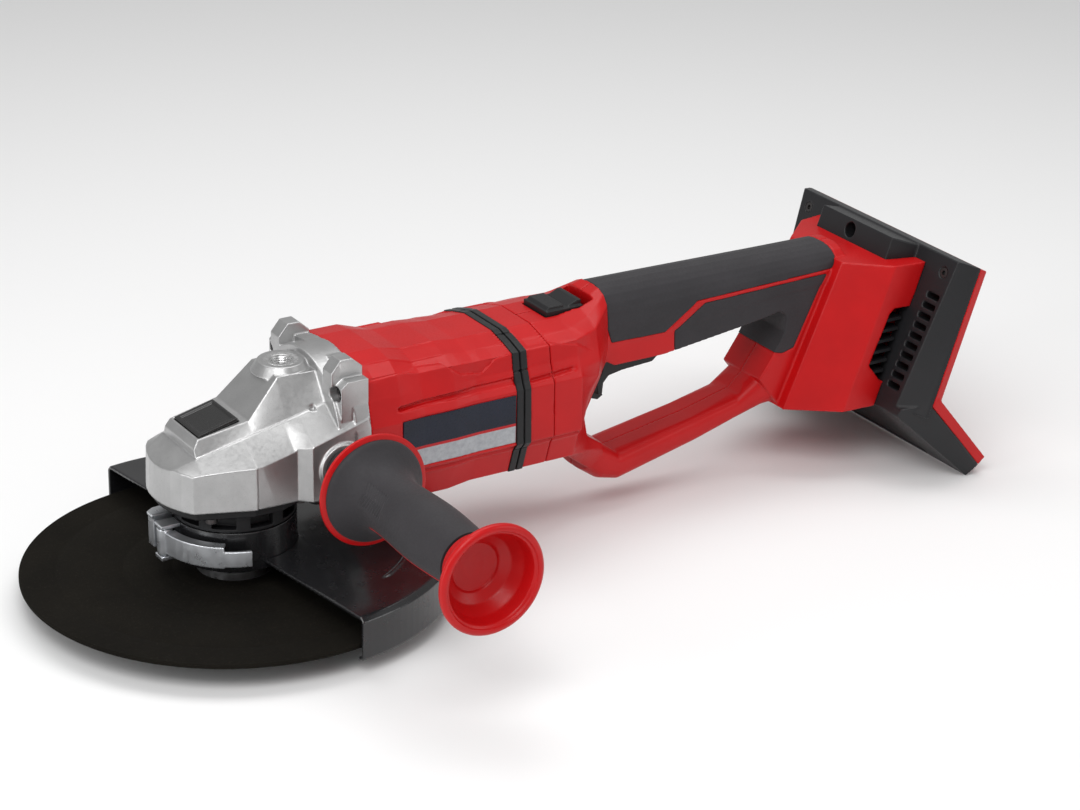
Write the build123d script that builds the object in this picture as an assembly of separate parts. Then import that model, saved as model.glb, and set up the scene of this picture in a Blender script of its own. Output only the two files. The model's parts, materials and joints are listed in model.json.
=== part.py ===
from build123d import *
import math
import os

# Cordless angle grinder with a 230 mm disc, a turnable rear D-handle and a side handle.
# Millimetres. The origin is on the spindle axis, at the outer face of the clamping nut.
# +X runs back along the motor to the battery plate, -Y is the side handle's side, +Z is up.

# ---------------------------------------------------------------- driving dimensions
DISC_RADIUS = 115.0
DISC_THICKNESS = 2.5
DISC_BOTTOM = 9.0
BORE_RADIUS = 11.1
NUT_RADIUS = 21.0
NUT_HOLES = 4
NUT_HOLE_CIRCLE = 35.0
NUT_HOLE_RADIUS = 2.5
SPINDLE_RADIUS = 7.0

GUARD_RADIUS = 119.0
GUARD_SHEET = 2.0
GUARD_TOP = 27.75
GUARD_BOTTOM = 3.25
GUARD_ANGLE = 8.2
GUARD_CHORD = 4.0
NECK_RADIUS = 31.0
NECK_BOTTOM = 24.0
BAND_RADIUS = 33.4
BAND_BOTTOM = 22.5
BAND_TOP = 45.0
COVER_BOTTOM = 55.5
CASE_BOTTOM = 60.0
NECK_WINDOWS = 10
SCREW_CIRCLE = 36.7

AXIS_Z = 84.0
FLANGE_START = 41.0
CASE_END = 59.0
HOUSING_END = 150.0
RING_WIDTH = 4.0
RING_GAP = 1.0
COLLAR_START = 159.0
COLLAR_END = 174.0
TURN_GAP = 0.4
WALL = 3.0

CROWN_TEETH = 39
PINION_TEETH = 13
CROWN_RADIUS = 27.0
PINION_RADIUS = CROWN_RADIUS * PINION_TEETH / CROWN_TEETH

SIDE_X = 41.5
SIDE_Z = 76.7
SIDE_FACE = 46.5
SIDE_FLANGE_Y = 75.0
SIDE_LENGTH = 122.0
HOLE_RADIUS = 6.0
TOP_HOLE_X = 29.0
DECK_TOP = 124.5

GRIP_START = 223.0
GRIP_END = 384.0
GRIP_HALF = 19.0
SKIN = 2.5
TRIGGER_PIVOT = (335.0, 101.0)
LOCK_PIVOT = (236.0, 84.0)
PIN_HALF = 14.6

PLATE_HALF = 81.0
PLATE_TILT = math.degrees(math.atan(0.345))
PLATE_THICKNESS = 11.7
PLATE_X = 397.3
PLATE_Z = 43.0
PLATE_LENGTH = 93.0
BEND_U = 8.0
FOOT_TIP = (449.6, 1.3)
REAR_PLATE = 6.0
VENT_SLOTS = 10

LOCK_X = -15.0
LOCK_CAP = 4.0
LOCK_TRAVEL = 3.5
SPRING_FLOOR = 88.0
LOCK_SLOPE = math.radians(14)
LOCK_PLANE = Plane(origin=(-15.1, 0, 100.25), z_dir=(-math.sin(LOCK_SLOPE), 0, math.cos(LOCK_SLOPE)))
GUARD_HINGE = (-40.5, 0.9)
FLANGE_BOLTS = [(-36.0, 114.5), (36.0, 114.5), (-33.84, 53.0), (33.84, 53.0)]
SHELL_SCREWS = [(220.0, 30.0), (262.0, 27.0), (319.0, 40.0), (352.0, 56.0)]
SHELL_SCREW_HALF = 12.0
HALF_JOINT = 0.15

RUNNING_GAP = 0.05


# ---------------------------------------------------------------- helpers
def block(x0, x1, y0, y1, z0, z1):
    """A box between two corners."""
    centre = Pos((x0 + x1) / 2, (y0 + y1) / 2, (z0 + z1) / 2)
    return centre * Box(x1 - x0, y1 - y0, z1 - z0)


def rod(start, direction, radius, length):
    """A cylinder from start along direction."""
    place = Plane(origin=start, z_dir=direction)
    return place * Cylinder(radius, length, align=(Align.CENTER, Align.CENTER, Align.MIN))


def tube(start, direction, outer, inner, length):
    """A hollow cylinder from start along direction."""
    back = Vector(start) - Vector(direction).normalized()
    return rod(start, direction, outer, length) - rod(back, direction, inner, length + 2)


def cone(start, direction, radius0, radius1, length):
    """A cone frustum from start along direction."""
    place = Plane(origin=start, z_dir=direction)
    return place * Cone(radius0, radius1, length, align=(Align.CENTER, Align.CENTER, Align.MIN))


def flat(points):
    """A flat face through 3-D points."""
    return Face(Wire.make_polygon([Vector(*p) for p in points], close=True))


def upright(points, z0, z1):
    """A plan outline of (x, y) points, raised from z0 to z1."""
    return extrude(flat([(x, y, z0) for x, y in points]), amount=z1 - z0, dir=(0, 0, 1))


def profile(points, y0, y1):
    """A side outline of (x, z) points, carried from y0 to y1."""
    return extrude(flat([(x, y0, z) for x, z in points]), amount=y1 - y0, dir=(0, 1, 0))


def turned(points, axis=Axis.Z):
    """A body of revolution from (radius, height) points about Z."""
    return revolve(flat([(r, 0, z) for r, z in points]), axis)


def mirrored(half):
    """A closed (y, z) outline from its -Y half, listed from top to bottom."""
    return [(-y, z) for y, z in half] + [(y, z) for y, z in reversed(half)]


def loft_x(sections):
    """A straight-sided body through (x, outline) sections, each outline of (y, z) points."""
    wires = [Wire.make_polygon([Vector(x, y, z) for y, z in s], close=True) for x, s in sections]
    return Solid.make_loft(wires, ruled=True)


def shrink(outline, wall):
    """An outline drawn in towards the motor axis by about one wall."""
    k = 1 - wall / 43.0
    return [(y * k, AXIS_Z + (z - AXIS_Z) * k) for y, z in outline]


def oval(half_width, low, high, power=2.6, count=24):
    """A rounded upright outline of (y, z) points."""
    middle = (low + high) / 2
    points = []
    for i in range(count):
        a = 2 * math.pi * (i + 0.5) / count
        c, s = math.cos(a), math.sin(a)
        y = half_width * math.copysign(abs(c) ** (2 / power), c)
        z = middle + (high - low) / 2 * math.copysign(abs(s) ** (2 / power), s)
        points.append((y, z))
    return points


def arc_points(radius, start, end, count, centre=(0.0, 0.0)):
    """Points on an arc, angles in degrees."""
    step = (end - start) / (count - 1)
    angles = [math.radians(start + i * step) for i in range(count)]
    return [(centre[0] + radius * math.cos(a), centre[1] + radius * math.sin(a)) for a in angles]


def polar(radius, angle):
    """A plan point at a radius and an angle in degrees."""
    a = math.radians(angle)
    return radius * math.cos(a), radius * math.sin(a)


def both_sides(shape):
    """A shape together with its mirror image across the middle plane."""
    return shape + mirror(shape, about=Plane.XZ)


def tilted(u, y, n):
    """A point of the battery plate: u up along its front, n back from it."""
    a = math.radians(PLATE_TILT)
    x = PLATE_X + u * math.sin(a) + n * math.cos(a)
    z = PLATE_Z + u * math.cos(a) - n * math.sin(a)
    return (x, y, z)


def screw(start, direction, head_radius, length):
    """A pan-head screw, its head's outer face at start, its shank along direction."""
    head = rod(start, direction, head_radius, 2.5)
    shank_start = Vector(start) + Vector(direction).normalized() * 2.5
    socket = rod(Vector(start) - Vector(direction).normalized(), direction, head_radius * 0.45, 2.4)
    return head + rod(shank_start, direction, head_radius * 0.5, length) - socket


PLATE_NORMAL = tuple(b - a for a, b in zip(tilted(0, 0, 0), tilted(0, 0, 1)))

# ---------------------------------------------------------------- body outlines
# Half outlines of the motor housing as (half width, z), top to bottom.
FRONT_HALF = [(15, 126.5), (29, 124.5), (37, 120), (41, 108), (43, 100), (44.5, 94),
              (45, 66), (41, 57), (34, 46), (21, 40.5)]
REAR_HALF = [(15, 122), (27, 119), (36, 116), (37.5, 107), (40, 100), (42, 96),
             (43, 65), (39, 60), (34.5, 46), (24, 43.5)]
TAPER_HALF = [(11, 124.5), (21, 121.5), (30, 117), (33, 107), (35.5, 100), (34, 90),
              (26, 76), (19.5, 60), (26, 42), (18, 31)]
NOSE_HALF = [(8, 131.3), (13.5, 129), (17.5, 124), (18.9, 113), (19, 104), (18.8, 97),
             (17, 88), (12, 60), (18, 36), (15.5, 20)]
FRONT_OUTLINE = mirrored(FRONT_HALF)
REAR_OUTLINE = mirrored(REAR_HALF)
TAPER_OUTLINE = mirrored(TAPER_HALF)
NOSE_OUTLINE = mirrored(NOSE_HALF)


def case_outline(inset=0.0):
    """Plan outline of the gear case at its bottom rim."""
    front = arc_points(46.3 - inset, 143, 217, 9)
    side = [(-6, -39.5 + inset), (18, -39.5 + inset), (24, -45 + inset)]
    rear = [(CASE_END - inset, -45 + inset), (CASE_END - inset, 45 - inset)]
    return front + side + rear + [(24, 45 - inset), (18, 39.5 - inset), (-6, 39.5 - inset)]


# ---------------------------------------------------------------- gear head
def gear_case():
    rim = extrude(flat([(x, y, CASE_BOTTOM) for x, y in case_outline()]), amount=70,
                  dir=(0, 0, 1), taper=1.5)

    def shoulder(x, w, zs, wt, zt):
        return (x, [(-w, 59), (-w, zs), (-wt, zt), (wt, zt), (w, zs), (w, 59)])

    head = loft_x([
        shoulder(-47, 30, 78.0, 14, 80.0),
        shoulder(-31.3, 28.5, 80.8, 20, 87.2),
        shoulder(-5.4, 38.6, 83.5, 23.5, 94.4),
        shoulder(17.0, 40.5, 86.7, 25.8, 100.4),
        shoulder(25.0, 46.0, 90.0, 26.4, 102.6),
        shoulder(CASE_END, 46.0, 99.0, 28.5, 112.0),
    ])
    wide = loft_x([
        shoulder(-47, 47, 76.0, 14, 80.0),
        shoulder(-31.3, 47, 71.5, 20, 87.2),
        shoulder(-5.4, 47, 78.0, 23.5, 94.4),
    ])
    case = (head + wide) & rim

    def tower(x, wb, zb, wt, zt):
        return (x, [(-wb, zb - 14), (-wb, zb), (-wt, zt), (wt, zt), (wb, zb), (wb, zb - 14)])

    case += loft_x([
        tower(-31.0, 19.6, 86.5, 17.6, 92.0),
        tower(-28.4, 20.2, 87.5, 16.5, 96.3),
        tower(0.0, 23.7, 95.5, 18.6, 101.8),
        tower(19.0, 25.5, 100.6, 14.5, 121.1),
        tower(46.0, 27.4, 107.8, 16.5, 121.3),
    ])
    case += cone((TOP_HOLE_X, 0, 118.5), (0, 0, 1), 16.5, 12.6, DECK_TOP - 118.5)

    # The round flange that the motor housing bolts to, with its corner lugs.
    flange = rod((FLANGE_START, 0, AXIS_Z), (1, 0, 0), 44.0, CASE_END - FLANGE_START)
    flange += loft_x([(50, FRONT_OUTLINE), (CASE_END, FRONT_OUTLINE)])
    lug = profile([
        (40.6, 112), (40.6, 125.6), (46.1, 132.2), (53.1, 132.2), (CASE_END, 127), (CASE_END, 108),
    ], -34.5, -24.5)
    ear = profile([(43, 100), (43, 119), (47, 122), (CASE_END, 122), (CASE_END, 100)], -41, -31)
    case += flange + both_sides(lug) + both_sides(ear)
    boss = cone((SIDE_X, -43, SIDE_Z), (0, -1, 0), 14.5, 13.0, SIDE_FACE - 43)
    case += both_sides(boss)

    # Chamber for the bevel gears, bearing seats, pockets and holes.
    case -= rod((0, 0, CASE_BOTTOM - 1), (0, 0, 1), 33.0, 18.5)
    case -= cone((0, 0, 77.4), (0, 0, 1), 33.0, 24.0, 9.0)
    case -= rod((6, 0, AXIS_Z), (1, 0, 0), 12.5, 40.0)
    case -= rod((40, 0, AXIS_Z), (1, 0, 0), 16.05, 11.0)
    case -= rod((50.9, 0, AXIS_Z), (1, 0, 0), 36.0, 10.0)
    case -= rod((0, 0, 84), (0, 0, 1), 9.05, 9.6)
    case -= lock_pocket()
    case -= both_sides(block(32.0, 35.0, -33.0, -25.0, 104.0, 120.0))
    case -= rod((TOP_HOLE_X, 0, DECK_TOP - 20), (0, 0, 1), HOLE_RADIUS, 22)
    side_hole = rod((SIDE_X, -SIDE_FACE - 1, SIDE_Z), (0, 1, 0), HOLE_RADIUS, 19)
    case -= both_sides(side_hole)
    for y, z in FLANGE_BOLTS:
        case -= rod((40, y, z), (1, 0, 0), 4.2, bolt_head_x(z) - 40 + 2.5)
        case -= rod((40, y, z), (1, 0, 0), 2.2, 20.0)
    for a in (45, 135, 225, 315):
        x, y = polar(SCREW_CIRCLE, a)
        case -= rod((x, y, CASE_BOTTOM - 1), (0, 0, 1), 1.9, 10)
    return case


def lock_pocket():
    """Pocket for the spindle-lock button, with the bores of its spring and pin."""
    depth = LOCK_CAP + LOCK_TRAVEL + 0.15
    above = LOCK_PLANE * Pos(0, 0, 15 - depth) * Box(60, 60, 30)
    pocket = block(-27.0, -3.2, -15.0, 15.0, 80, 130) & above
    spring_bore = rod((LOCK_X, 0, SPRING_FLOOR), (0, 0, 1), 4.6, 8)
    pin_bore = rod((LOCK_X, 0, 74), (0, 0, 1), 2.5 + RUNNING_GAP, 20)
    return pocket + spring_bore + pin_bore


def lock_button():
    """Sloping cap of the spindle lock, with a bevelled border."""
    slab = LOCK_PLANE * Pos(0, 0, -LOCK_CAP / 2) * Box(60, 60, LOCK_CAP)
    cap = block(-26.6, -3.6, -14.6, 14.6, 80, 130) & slab
    return chamfer(cap.faces().sort_by(Axis.Z)[-1].edges(), 0.8)


def lock_pin():
    """Pin under the button that drops into the crown wheel."""
    pin = rod((LOCK_X, 0, 77.2), (0, 0, 1), 2.5, 25) + cone((LOCK_X, 0, 76.4), (0, 0, 1), 1.9, 2.5, 0.8)
    return pin - LOCK_PLANE * Pos(0, 0, 15 - LOCK_CAP) * Box(60, 60, 30)


def lock_spring():
    """Return spring under the lock button, wound round its pin."""
    path = Pos(LOCK_X, 0, SPRING_FLOOR + 0.45) * Helix(pitch=1.5, height=6.0, radius=3.7)
    return sweep((path ^ 0) * Circle(0.42), path=path)


def bearing_cover():
    """Cover under the gear case: plate, windowed neck and the groove that the guard turns on."""
    plate = upright(case_cover_outline(), COVER_BOTTOM, CASE_BOTTOM)
    neck = rod((0, 0, NECK_BOTTOM), (0, 0, 1), NECK_RADIUS, COVER_BOTTOM - NECK_BOTTOM)
    collar = rod((0, 0, BAND_TOP + 0.4), (0, 0, 1), BAND_RADIUS - 0.2, COVER_BOTTOM - BAND_TOP - 0.4)
    cover = plate + neck + collar
    for i in range(NECK_WINDOWS):
        window = block(28, 40, -6.5, 6.5, 47.2, 53.2)
        cover -= Rot(0, 0, 360 / NECK_WINDOWS * (i + 0.5)) * window
    cover -= rod((0, 0, COVER_BOTTOM - 7), (0, 0, 1), 17.55, 20)
    cover -= rod((0, 0, NECK_BOTTOM - 1), (0, 0, 1), 26.0, 18)
    cover -= rod((0, 0, 30), (0, 0, 1), 12.0, 30)
    for a in (45, 135, 225, 315):
        x, y = polar(SCREW_CIRCLE, a)
        cover -= rod((x, y, COVER_BOTTOM - 1), (0, 0, 1), 2.05, 10)
    return cover


def case_cover_outline():
    """Plan outline of the bearing cover, a little inside the gear case's rim."""
    front = arc_points(43.3, 143, 217, 9)
    side = [(-6, -37.2), (10, -37.2), (30, -28)]
    return front + side + [(30, 28), (10, 37.2), (-6, 37.2)]


def bolt_head_x(z):
    """x of a flange bolt's head: the lower pair starts further forward than the upper pair."""
    return 45.4 if z > AXIS_Z else 43.4


def case_screws():
    """Four screws that hold the bearing cover and four that hold the motor housing."""
    group = []
    for a in (45, 135, 225, 315):
        x, y = polar(SCREW_CIRCLE, a)
        group.append(screw((x, y, COVER_BOTTOM - 2.5), (0, 0, 1), 3.2, 11.0))
    for y, z in FLANGE_BOLTS:
        group.append(screw((bolt_head_x(z), y, z), (1, 0, 0), 4.0, 22.0))
    return Compound(children=[Solid(s.solid().wrapped) for s in group])


# ---------------------------------------------------------------- gears, bearings, spindle
def tooth_solid(base_radius, base_height, tip_rise, half_base, half_tip, shrink_to):
    """A tooth along +X of a gear about Z whose pitch cone meets its axis at the origin."""
    wires = []
    norm = math.hypot(base_radius, base_height)
    up = (abs(base_height) / norm, -math.copysign(base_radius, base_height) / norm)
    for k in (1.0, shrink_to):
        r, h = base_radius * k, base_height * k
        rise = tip_rise * k
        low = 1.3 * k
        corners = [
            (r - up[0] * low, -half_base * k, h - up[1] * low),
            (r + up[0] * rise, -half_tip * k, h + up[1] * rise),
            (r + up[0] * rise, half_tip * k, h + up[1] * rise),
            (r - up[0] * low, half_base * k, h - up[1] * low),
        ]
        wires.append(Wire.make_polygon([Vector(*c) for c in corners], close=True))
    return Solid.make_loft(wires, ruled=True)


def crown_wheel():
    """Bevel wheel on the spindle. Its pitch cone opens upwards and meets the pinion at +X."""
    cone_drop = PINION_RADIUS
    floor = AXIS_Z - cone_drop - 0.9
    inner = 0.68
    body = turned([
        (SPINDLE_RADIUS + RUNNING_GAP, 66.0), (CROWN_RADIUS + 1.5, 66.0), (CROWN_RADIUS + 1.5, 72.5),
        (CROWN_RADIUS, floor), (CROWN_RADIUS * inner, AXIS_Z - (cone_drop + 0.9) * inner - 0.3),
        (CROWN_RADIUS * inner - 2, 74.0), (SPINDLE_RADIUS + RUNNING_GAP, 74.0),
    ])
    tooth = tooth_solid(CROWN_RADIUS, -cone_drop, 0.55, 0.95, 0.5, inner)
    teeth = []
    for i in range(CROWN_TEETH):
        teeth.append(Pos(0, 0, AXIS_Z) * Rot(0, 0, 360 / CROWN_TEETH * (i + 0.5)) * tooth)
    body = body.fuse(*teeth)
    for a in range(0, 360, 90):
        body -= Rot(0, 0, a) * rod((-15, 0, 65), (0, 0, 1), 3.3, 12)
    return body


def pinion():
    """Small bevel gear on the rotor shaft."""
    inner = 0.68
    root = PINION_RADIUS - 0.9
    body = Plane(origin=(0, 0, AXIS_Z), x_dir=(0, 0, 1), z_dir=(1, 0, 0)) * turned([
        (3.5, CROWN_RADIUS * inner), (root * inner, CROWN_RADIUS * inner), (root, CROWN_RADIUS),
        (root, CROWN_RADIUS + 1.2), (3.5, CROWN_RADIUS + 1.2),
    ])
    tooth = tooth_solid(PINION_RADIUS, CROWN_RADIUS, 0.55, 0.95, 0.5, inner)
    place = Plane(origin=(0, 0, AXIS_Z), x_dir=(0, 0, -1), z_dir=(1, 0, 0))
    teeth = []
    for i in range(PINION_TEETH):
        teeth.append(place * Rot(0, 0, 360 / PINION_TEETH * i) * tooth)
    return body.fuse(*teeth)


def spindle():
    shaft = rod((0, 0, 2.0), (0, 0, 1), SPINDLE_RADIUS, 75.0)
    shaft += rod((0, 0, 77.0), (0, 0, 1), 5.0, 16.2)
    shaft += rod((0, 0, 20.0), (0, 0, 1), 9.0, 27.5)
    return shaft


def crown_nut():
    return tube((0, 0, 74.05), (0, 0, 1), 11.0, SPINDLE_RADIUS + RUNNING_GAP, 2.9)


def inner_flange():
    """Backing flange with the collar that centres the disc."""
    return turned([
        (7.05, 10.0), (BORE_RADIUS - 0.05, 10.0), (BORE_RADIUS - 0.05, 11.5), (21.0, 11.5),
        (21.0, 16.0), (14.0, 19.9), (7.05, 19.9),
    ])


def cutting_disc():
    bottom, top = DISC_BOTTOM, DISC_BOTTOM + DISC_THICKNESS
    inner = BORE_RADIUS + 1.9
    return turned([(inner, bottom), (DISC_RADIUS, bottom), (DISC_RADIUS, top), (inner, top)])


def disc_ring():
    """Metal ring that lines the disc's bore."""
    return tube((0, 0, DISC_BOTTOM), (0, 0, 1), BORE_RADIUS + 1.9, BORE_RADIUS, DISC_THICKNESS)


def clamping_nut():
    nut = turned([
        (7.05, 1.6), (9.5, 0), (NUT_RADIUS - 0.6, 0), (NUT_RADIUS, 0.6), (NUT_RADIUS, DISC_BOTTOM),
        (7.05, DISC_BOTTOM),
    ])
    for i in range(NUT_HOLES):
        x, y = polar(NUT_HOLE_CIRCLE / 2, 45 + 360 / NUT_HOLES * i)
        nut -= rod((x, y, -1), (0, 0, 1), NUT_HOLE_RADIUS, 6.0)
    return nut


def bearing(start, direction, outer, inner, width):
    """A shielded ball bearing: two rings with a recessed shield between them, as one body."""
    body = tube(start, direction, outer, inner, width)
    middle = (outer + inner) / 2
    half = (outer - inner) / 4
    groove = tube(start, direction, middle + half, middle - half, 0.5)
    return body - groove


# ---------------------------------------------------------------- motor
def rotor_shaft():
    shaft = rod((15.0, 0, AXIS_Z), (1, 0, 0), 3.45, 17.5)
    shaft += rod((30.0, 0, AXIS_Z), (1, 0, 0), 5.95, 25.0)
    return shaft + rod((55.0, 0, AXIS_Z), (1, 0, 0), 3.95, 88.0)


def rotor_core():
    return tube((73.0, 0, AXIS_Z), (1, 0, 0), 17.5, 4.0, 50.0)


def fan():
    """Radial fan in front of the stator."""
    disc = tube((56.5, 0, AXIS_Z), (1, 0, 0), 33.0, 4.0, 2.0)
    disc += tube((56.5, 0, AXIS_Z), (1, 0, 0), 9.0, 4.0, 9.0)
    for i in range(12):
        blade = block(58.0, 65.0, 12.0, 32.0, -0.9, 0.9)
        disc += Pos(0, 0, AXIS_Z) * Rot(360 / 12 * i, 0, 0) * blade
    return disc


def air_baffle():
    """Ring that guides the cooling air from the stator into the fan."""
    return turned_x([(35.6, 66.5), (35.6, 69.0), (24.0, 69.0), (26.0, 66.5)])


def turned_x(points):
    """A body of revolution from (radius, x) points about the motor axis."""
    place = Plane(origin=(0, 0, AXIS_Z), x_dir=(0, 0, 1), z_dir=(1, 0, 0))
    return place * turned(points)


def stator():
    """Laminated stator with six inward poles."""
    core = tube((74.0, 0, AXIS_Z), (1, 0, 0), 35.0, 29.5, 46.0)
    for i in range(6):
        pole = block(74.0, 120.0, 20.5, 30.5, -3.5, 3.5)
        shoe = block(74.0, 120.0, 18.6, 21.0, -7.5, 7.5)
        core += Pos(0, 0, AXIS_Z) * Rot(60 * i, 0, 0) * (pole + shoe)
    return core - rod((73.0, 0, AXIS_Z), (1, 0, 0), 18.4, 48.0)


def stator_coils():
    """One coil round each pole."""
    group = []
    for i in range(6):
        ring = block(71.0, 123.0, 21.6, 28.6, -6.8, 6.8) - block(73.8, 120.2, 21.0, 29.0, -3.7, 3.7)
        group.append(Pos(0, 0, AXIS_Z) * Rot(60 * i, 0, 0) * ring)
    return Compound(children=[Solid(s.solid().wrapped) for s in group])


def motor_housing():
    mid_half = [(15, 123.5), (28, 120.5), (37, 117), (39.5, 107.5), (41.5, 100), (43.5, 95.5),
                (44, 65.5), (40, 58.5), (34.3, 44), (23, 38)]
    mid_outline = mirrored(mid_half)
    sections = [(CASE_END, FRONT_OUTLINE), (78.0, FRONT_OUTLINE), (92.0, mid_outline),
                (112.0, mid_outline), (126.0, REAR_OUTLINE), (HOUSING_END, REAR_OUTLINE)]
    shell = loft_x(sections)
    shell -= loft_x([(x, shrink(o, WALL)) for x, o in [(CASE_END - 1, FRONT_OUTLINE)] + sections[1:5]
                     + [(HOUSING_END - 3, REAR_OUTLINE)]])
    shell -= rod((HOUSING_END - 4, 0, AXIS_Z), (1, 0, 0), 30.0, 6.0)
    # Stator seat and the spider that carries the rear bearing.
    seat = tube((84.0, 0, AXIS_Z), (1, 0, 0), 39.6, 35.05, 24.0)
    for i in range(4):
        rib = block(84.0, 108.0, 35.6, 44.0, -2.0, 2.0)
        seat += Pos(0, 0, AXIS_Z) * Rot(45 + 90 * i, 0, 0) * rib
    spider = tube((134.0, 0, AXIS_Z), (1, 0, 0), 14.0, 11.05, 8.0)
    for i in range(4):
        arm = block(134.0, 139.0, 12.5, 44.0, -3.0, 3.0)
        spider += Pos(0, 0, AXIS_Z) * Rot(45 + 90 * i, 0, 0) * arm
    keep = loft_x([(x, shrink(o, WALL / 2)) for x, o in sections])
    inside = seat + spider
    for y, z in FLANGE_BOLTS:
        inside += rod((CASE_END, y, z), (1, 0, 0), 5.0, 15.0)
    shell += inside & keep
    for y, z in FLANGE_BOLTS:
        shell -= rod((CASE_END - 1, y, z), (1, 0, 0), 2.1, 13.0)
    # Shallow recess for the label plate and the groove above it, on both sides.
    recess = upright(LABEL_LINE + [(HOUSING_END + 1, -47), (LABEL_LINE[0][0], -47)], 65.8, 94.7)
    return shell - both_sides(recess) - both_sides(side_groove())


LABEL_LINE = [(77.6, -43.9), (92.0, -43.1), (112.0, -43.0), (126.0, -42.0), (151.0, -42.0)]


def side_groove():
    """Tapering groove along the -Y side of the housing, over the label plate."""
    def section(x, surface):
        return (x, [
            (-48, 98.9), (-48, 104.6), (surface + 0.4, 102.4), (surface + 1.5, 100.8), (surface, 99.3),
        ])

    return loft_x([section(77.0, -42.9), section(92.0, -41.6), section(126.0, -40.0), section(151.0, -39.8)])


def label_plate(side):
    """Thin blank label plate in its recess, following the housing's side."""
    inner = [(78.0, -43.95), (92.0, -43.15), (112.0, -43.05), (126.0, -42.05), (149.4, -42.05)]
    outer = [(x, y - 0.75) for x, y in reversed(inner)]
    plate = upright(inner + outer, 66.3, 94.2)
    return plate if side < 0 else mirror(plate, about=Plane.XZ)


def outline_ring(x0, x1, grow, wall):
    """A closed band that follows the rear outline."""
    outer = [(y * (1 + grow / 43), AXIS_Z + (z - AXIS_Z) * (1 + grow / 43)) for y, z in REAR_OUTLINE]
    inner = shrink(REAR_OUTLINE, wall)
    return loft_x([(x0, outer), (x1, outer)]) - loft_x([(x0 - 1, inner), (x1 + 1, inner)])


def damping_rings():
    """Two rubber rings side by side between the motor and the rear handle's collar."""
    starts = (HOUSING_END, HOUSING_END + RING_WIDTH + RING_GAP)
    rings = [outline_ring(x, x + RING_WIDTH, 0.5, 4.0) for x in starts]
    return Compound(children=[Solid(ring.solid().wrapped) for ring in rings])


def link_tube():
    """Hollow core that carries the damping rings between the housing and the rear collar."""
    inner = rod((HOUSING_END - 4, 0, AXIS_Z), (1, 0, 0), 26.0, 15)
    core = loft_x([(HOUSING_END, shrink(REAR_OUTLINE, 4.05)), (COLLAR_START, shrink(REAR_OUTLINE, 4.05))])
    return core - inner


def rear_collar():
    """Fixed collar with the round spigot that the rear handle turns on."""
    collar = loft_x([(COLLAR_START, REAR_OUTLINE), (COLLAR_END, REAR_OUTLINE)])
    collar += rod((COLLAR_END, 0, AXIS_Z), (1, 0, 0), 30.0, 13.0)
    collar += rod((183.0, 0, AXIS_Z), (1, 0, 0), 33.0, 4.0)
    return collar - rod((COLLAR_START - 1, 0, AXIS_Z), (1, 0, 0), 26.0, 40)


# ---------------------------------------------------------------- guard
def guard_shell():
    """Half-round sheet guard: top plate, skirt and rolled lip."""
    half = turned([
        (BAND_RADIUS, GUARD_TOP - GUARD_SHEET), (GUARD_RADIUS - GUARD_SHEET, GUARD_TOP - GUARD_SHEET),
        (GUARD_RADIUS - GUARD_SHEET, GUARD_BOTTOM + 1.5), (GUARD_RADIUS - 4.2, GUARD_BOTTOM + 1.5),
        (GUARD_RADIUS - 4.2, GUARD_BOTTOM), (GUARD_RADIUS - 1.0, GUARD_BOTTOM),
        (GUARD_RADIUS, GUARD_BOTTOM + 1.2), (GUARD_RADIUS, GUARD_TOP - 2.5), (GUARD_RADIUS - 2.5, GUARD_TOP),
        (BAND_RADIUS, GUARD_TOP),
    ])
    bead = turned([
        (93.0, GUARD_TOP - 0.6), (96.0, GUARD_TOP - 0.6), (95.2, GUARD_TOP + 0.8), (93.8, GUARD_TOP + 0.8),
    ])
    bead -= block(-200, 200, -200, 200, -10, GUARD_TOP - 0.5)
    half += bead & block(20, 130, -88, 88, 0, 60)
    half -= block(-200, -GUARD_CHORD, -200, 200, -10, 60)
    return Rot(0, 0, GUARD_ANGLE) * half


def guard_band():
    """Clamp band round the neck, split at the front under the lever."""
    height = BAND_TOP - BAND_BOTTOM
    band = tube((0, 0, BAND_BOTTOM), (0, 0, 1), BAND_RADIUS, NECK_RADIUS + RUNNING_GAP, height)
    return band - block(-60, -20, 5.0, 8.0, 0, 60)


def guard_hinge():
    """Two ears on the band beside its split, with the lever's pin."""
    root = -BAND_RADIUS + 1.2
    ears = block(-44.5, root, -3.5, 4.9, 42.6, BAND_TOP) + block(-44.5, root, -3.5, 4.9, 24.6, 27.0)
    ears += rod((GUARD_HINGE[0], GUARD_HINGE[1], 24.6), (0, 0, 1), 2.0, 20.4)
    return ears - rod((0, 0, 20), (0, 0, 1), BAND_RADIUS, 30.0)


def guard_catch():
    """Draw link and hook plate on the other side of the band's split."""
    link = block(-43.5, -BAND_RADIUS + 1.0, 8.1, 15.0, 28.0, BAND_TOP + 1)
    hook = upright([(-BAND_RADIUS + 1.0, 8.1), (-44.5, 8.1), (-44.5, 14), (-40, 17), (-30.0, 17.8)],
                   BAND_TOP, BAND_TOP + 2)
    collar = rod((0, 0, BAND_TOP), (0, 0, 1), BAND_RADIUS + 0.4, 30.0)
    return link + hook - rod((0, 0, 20), (0, 0, 1), BAND_RADIUS, 30.0) - collar


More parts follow.
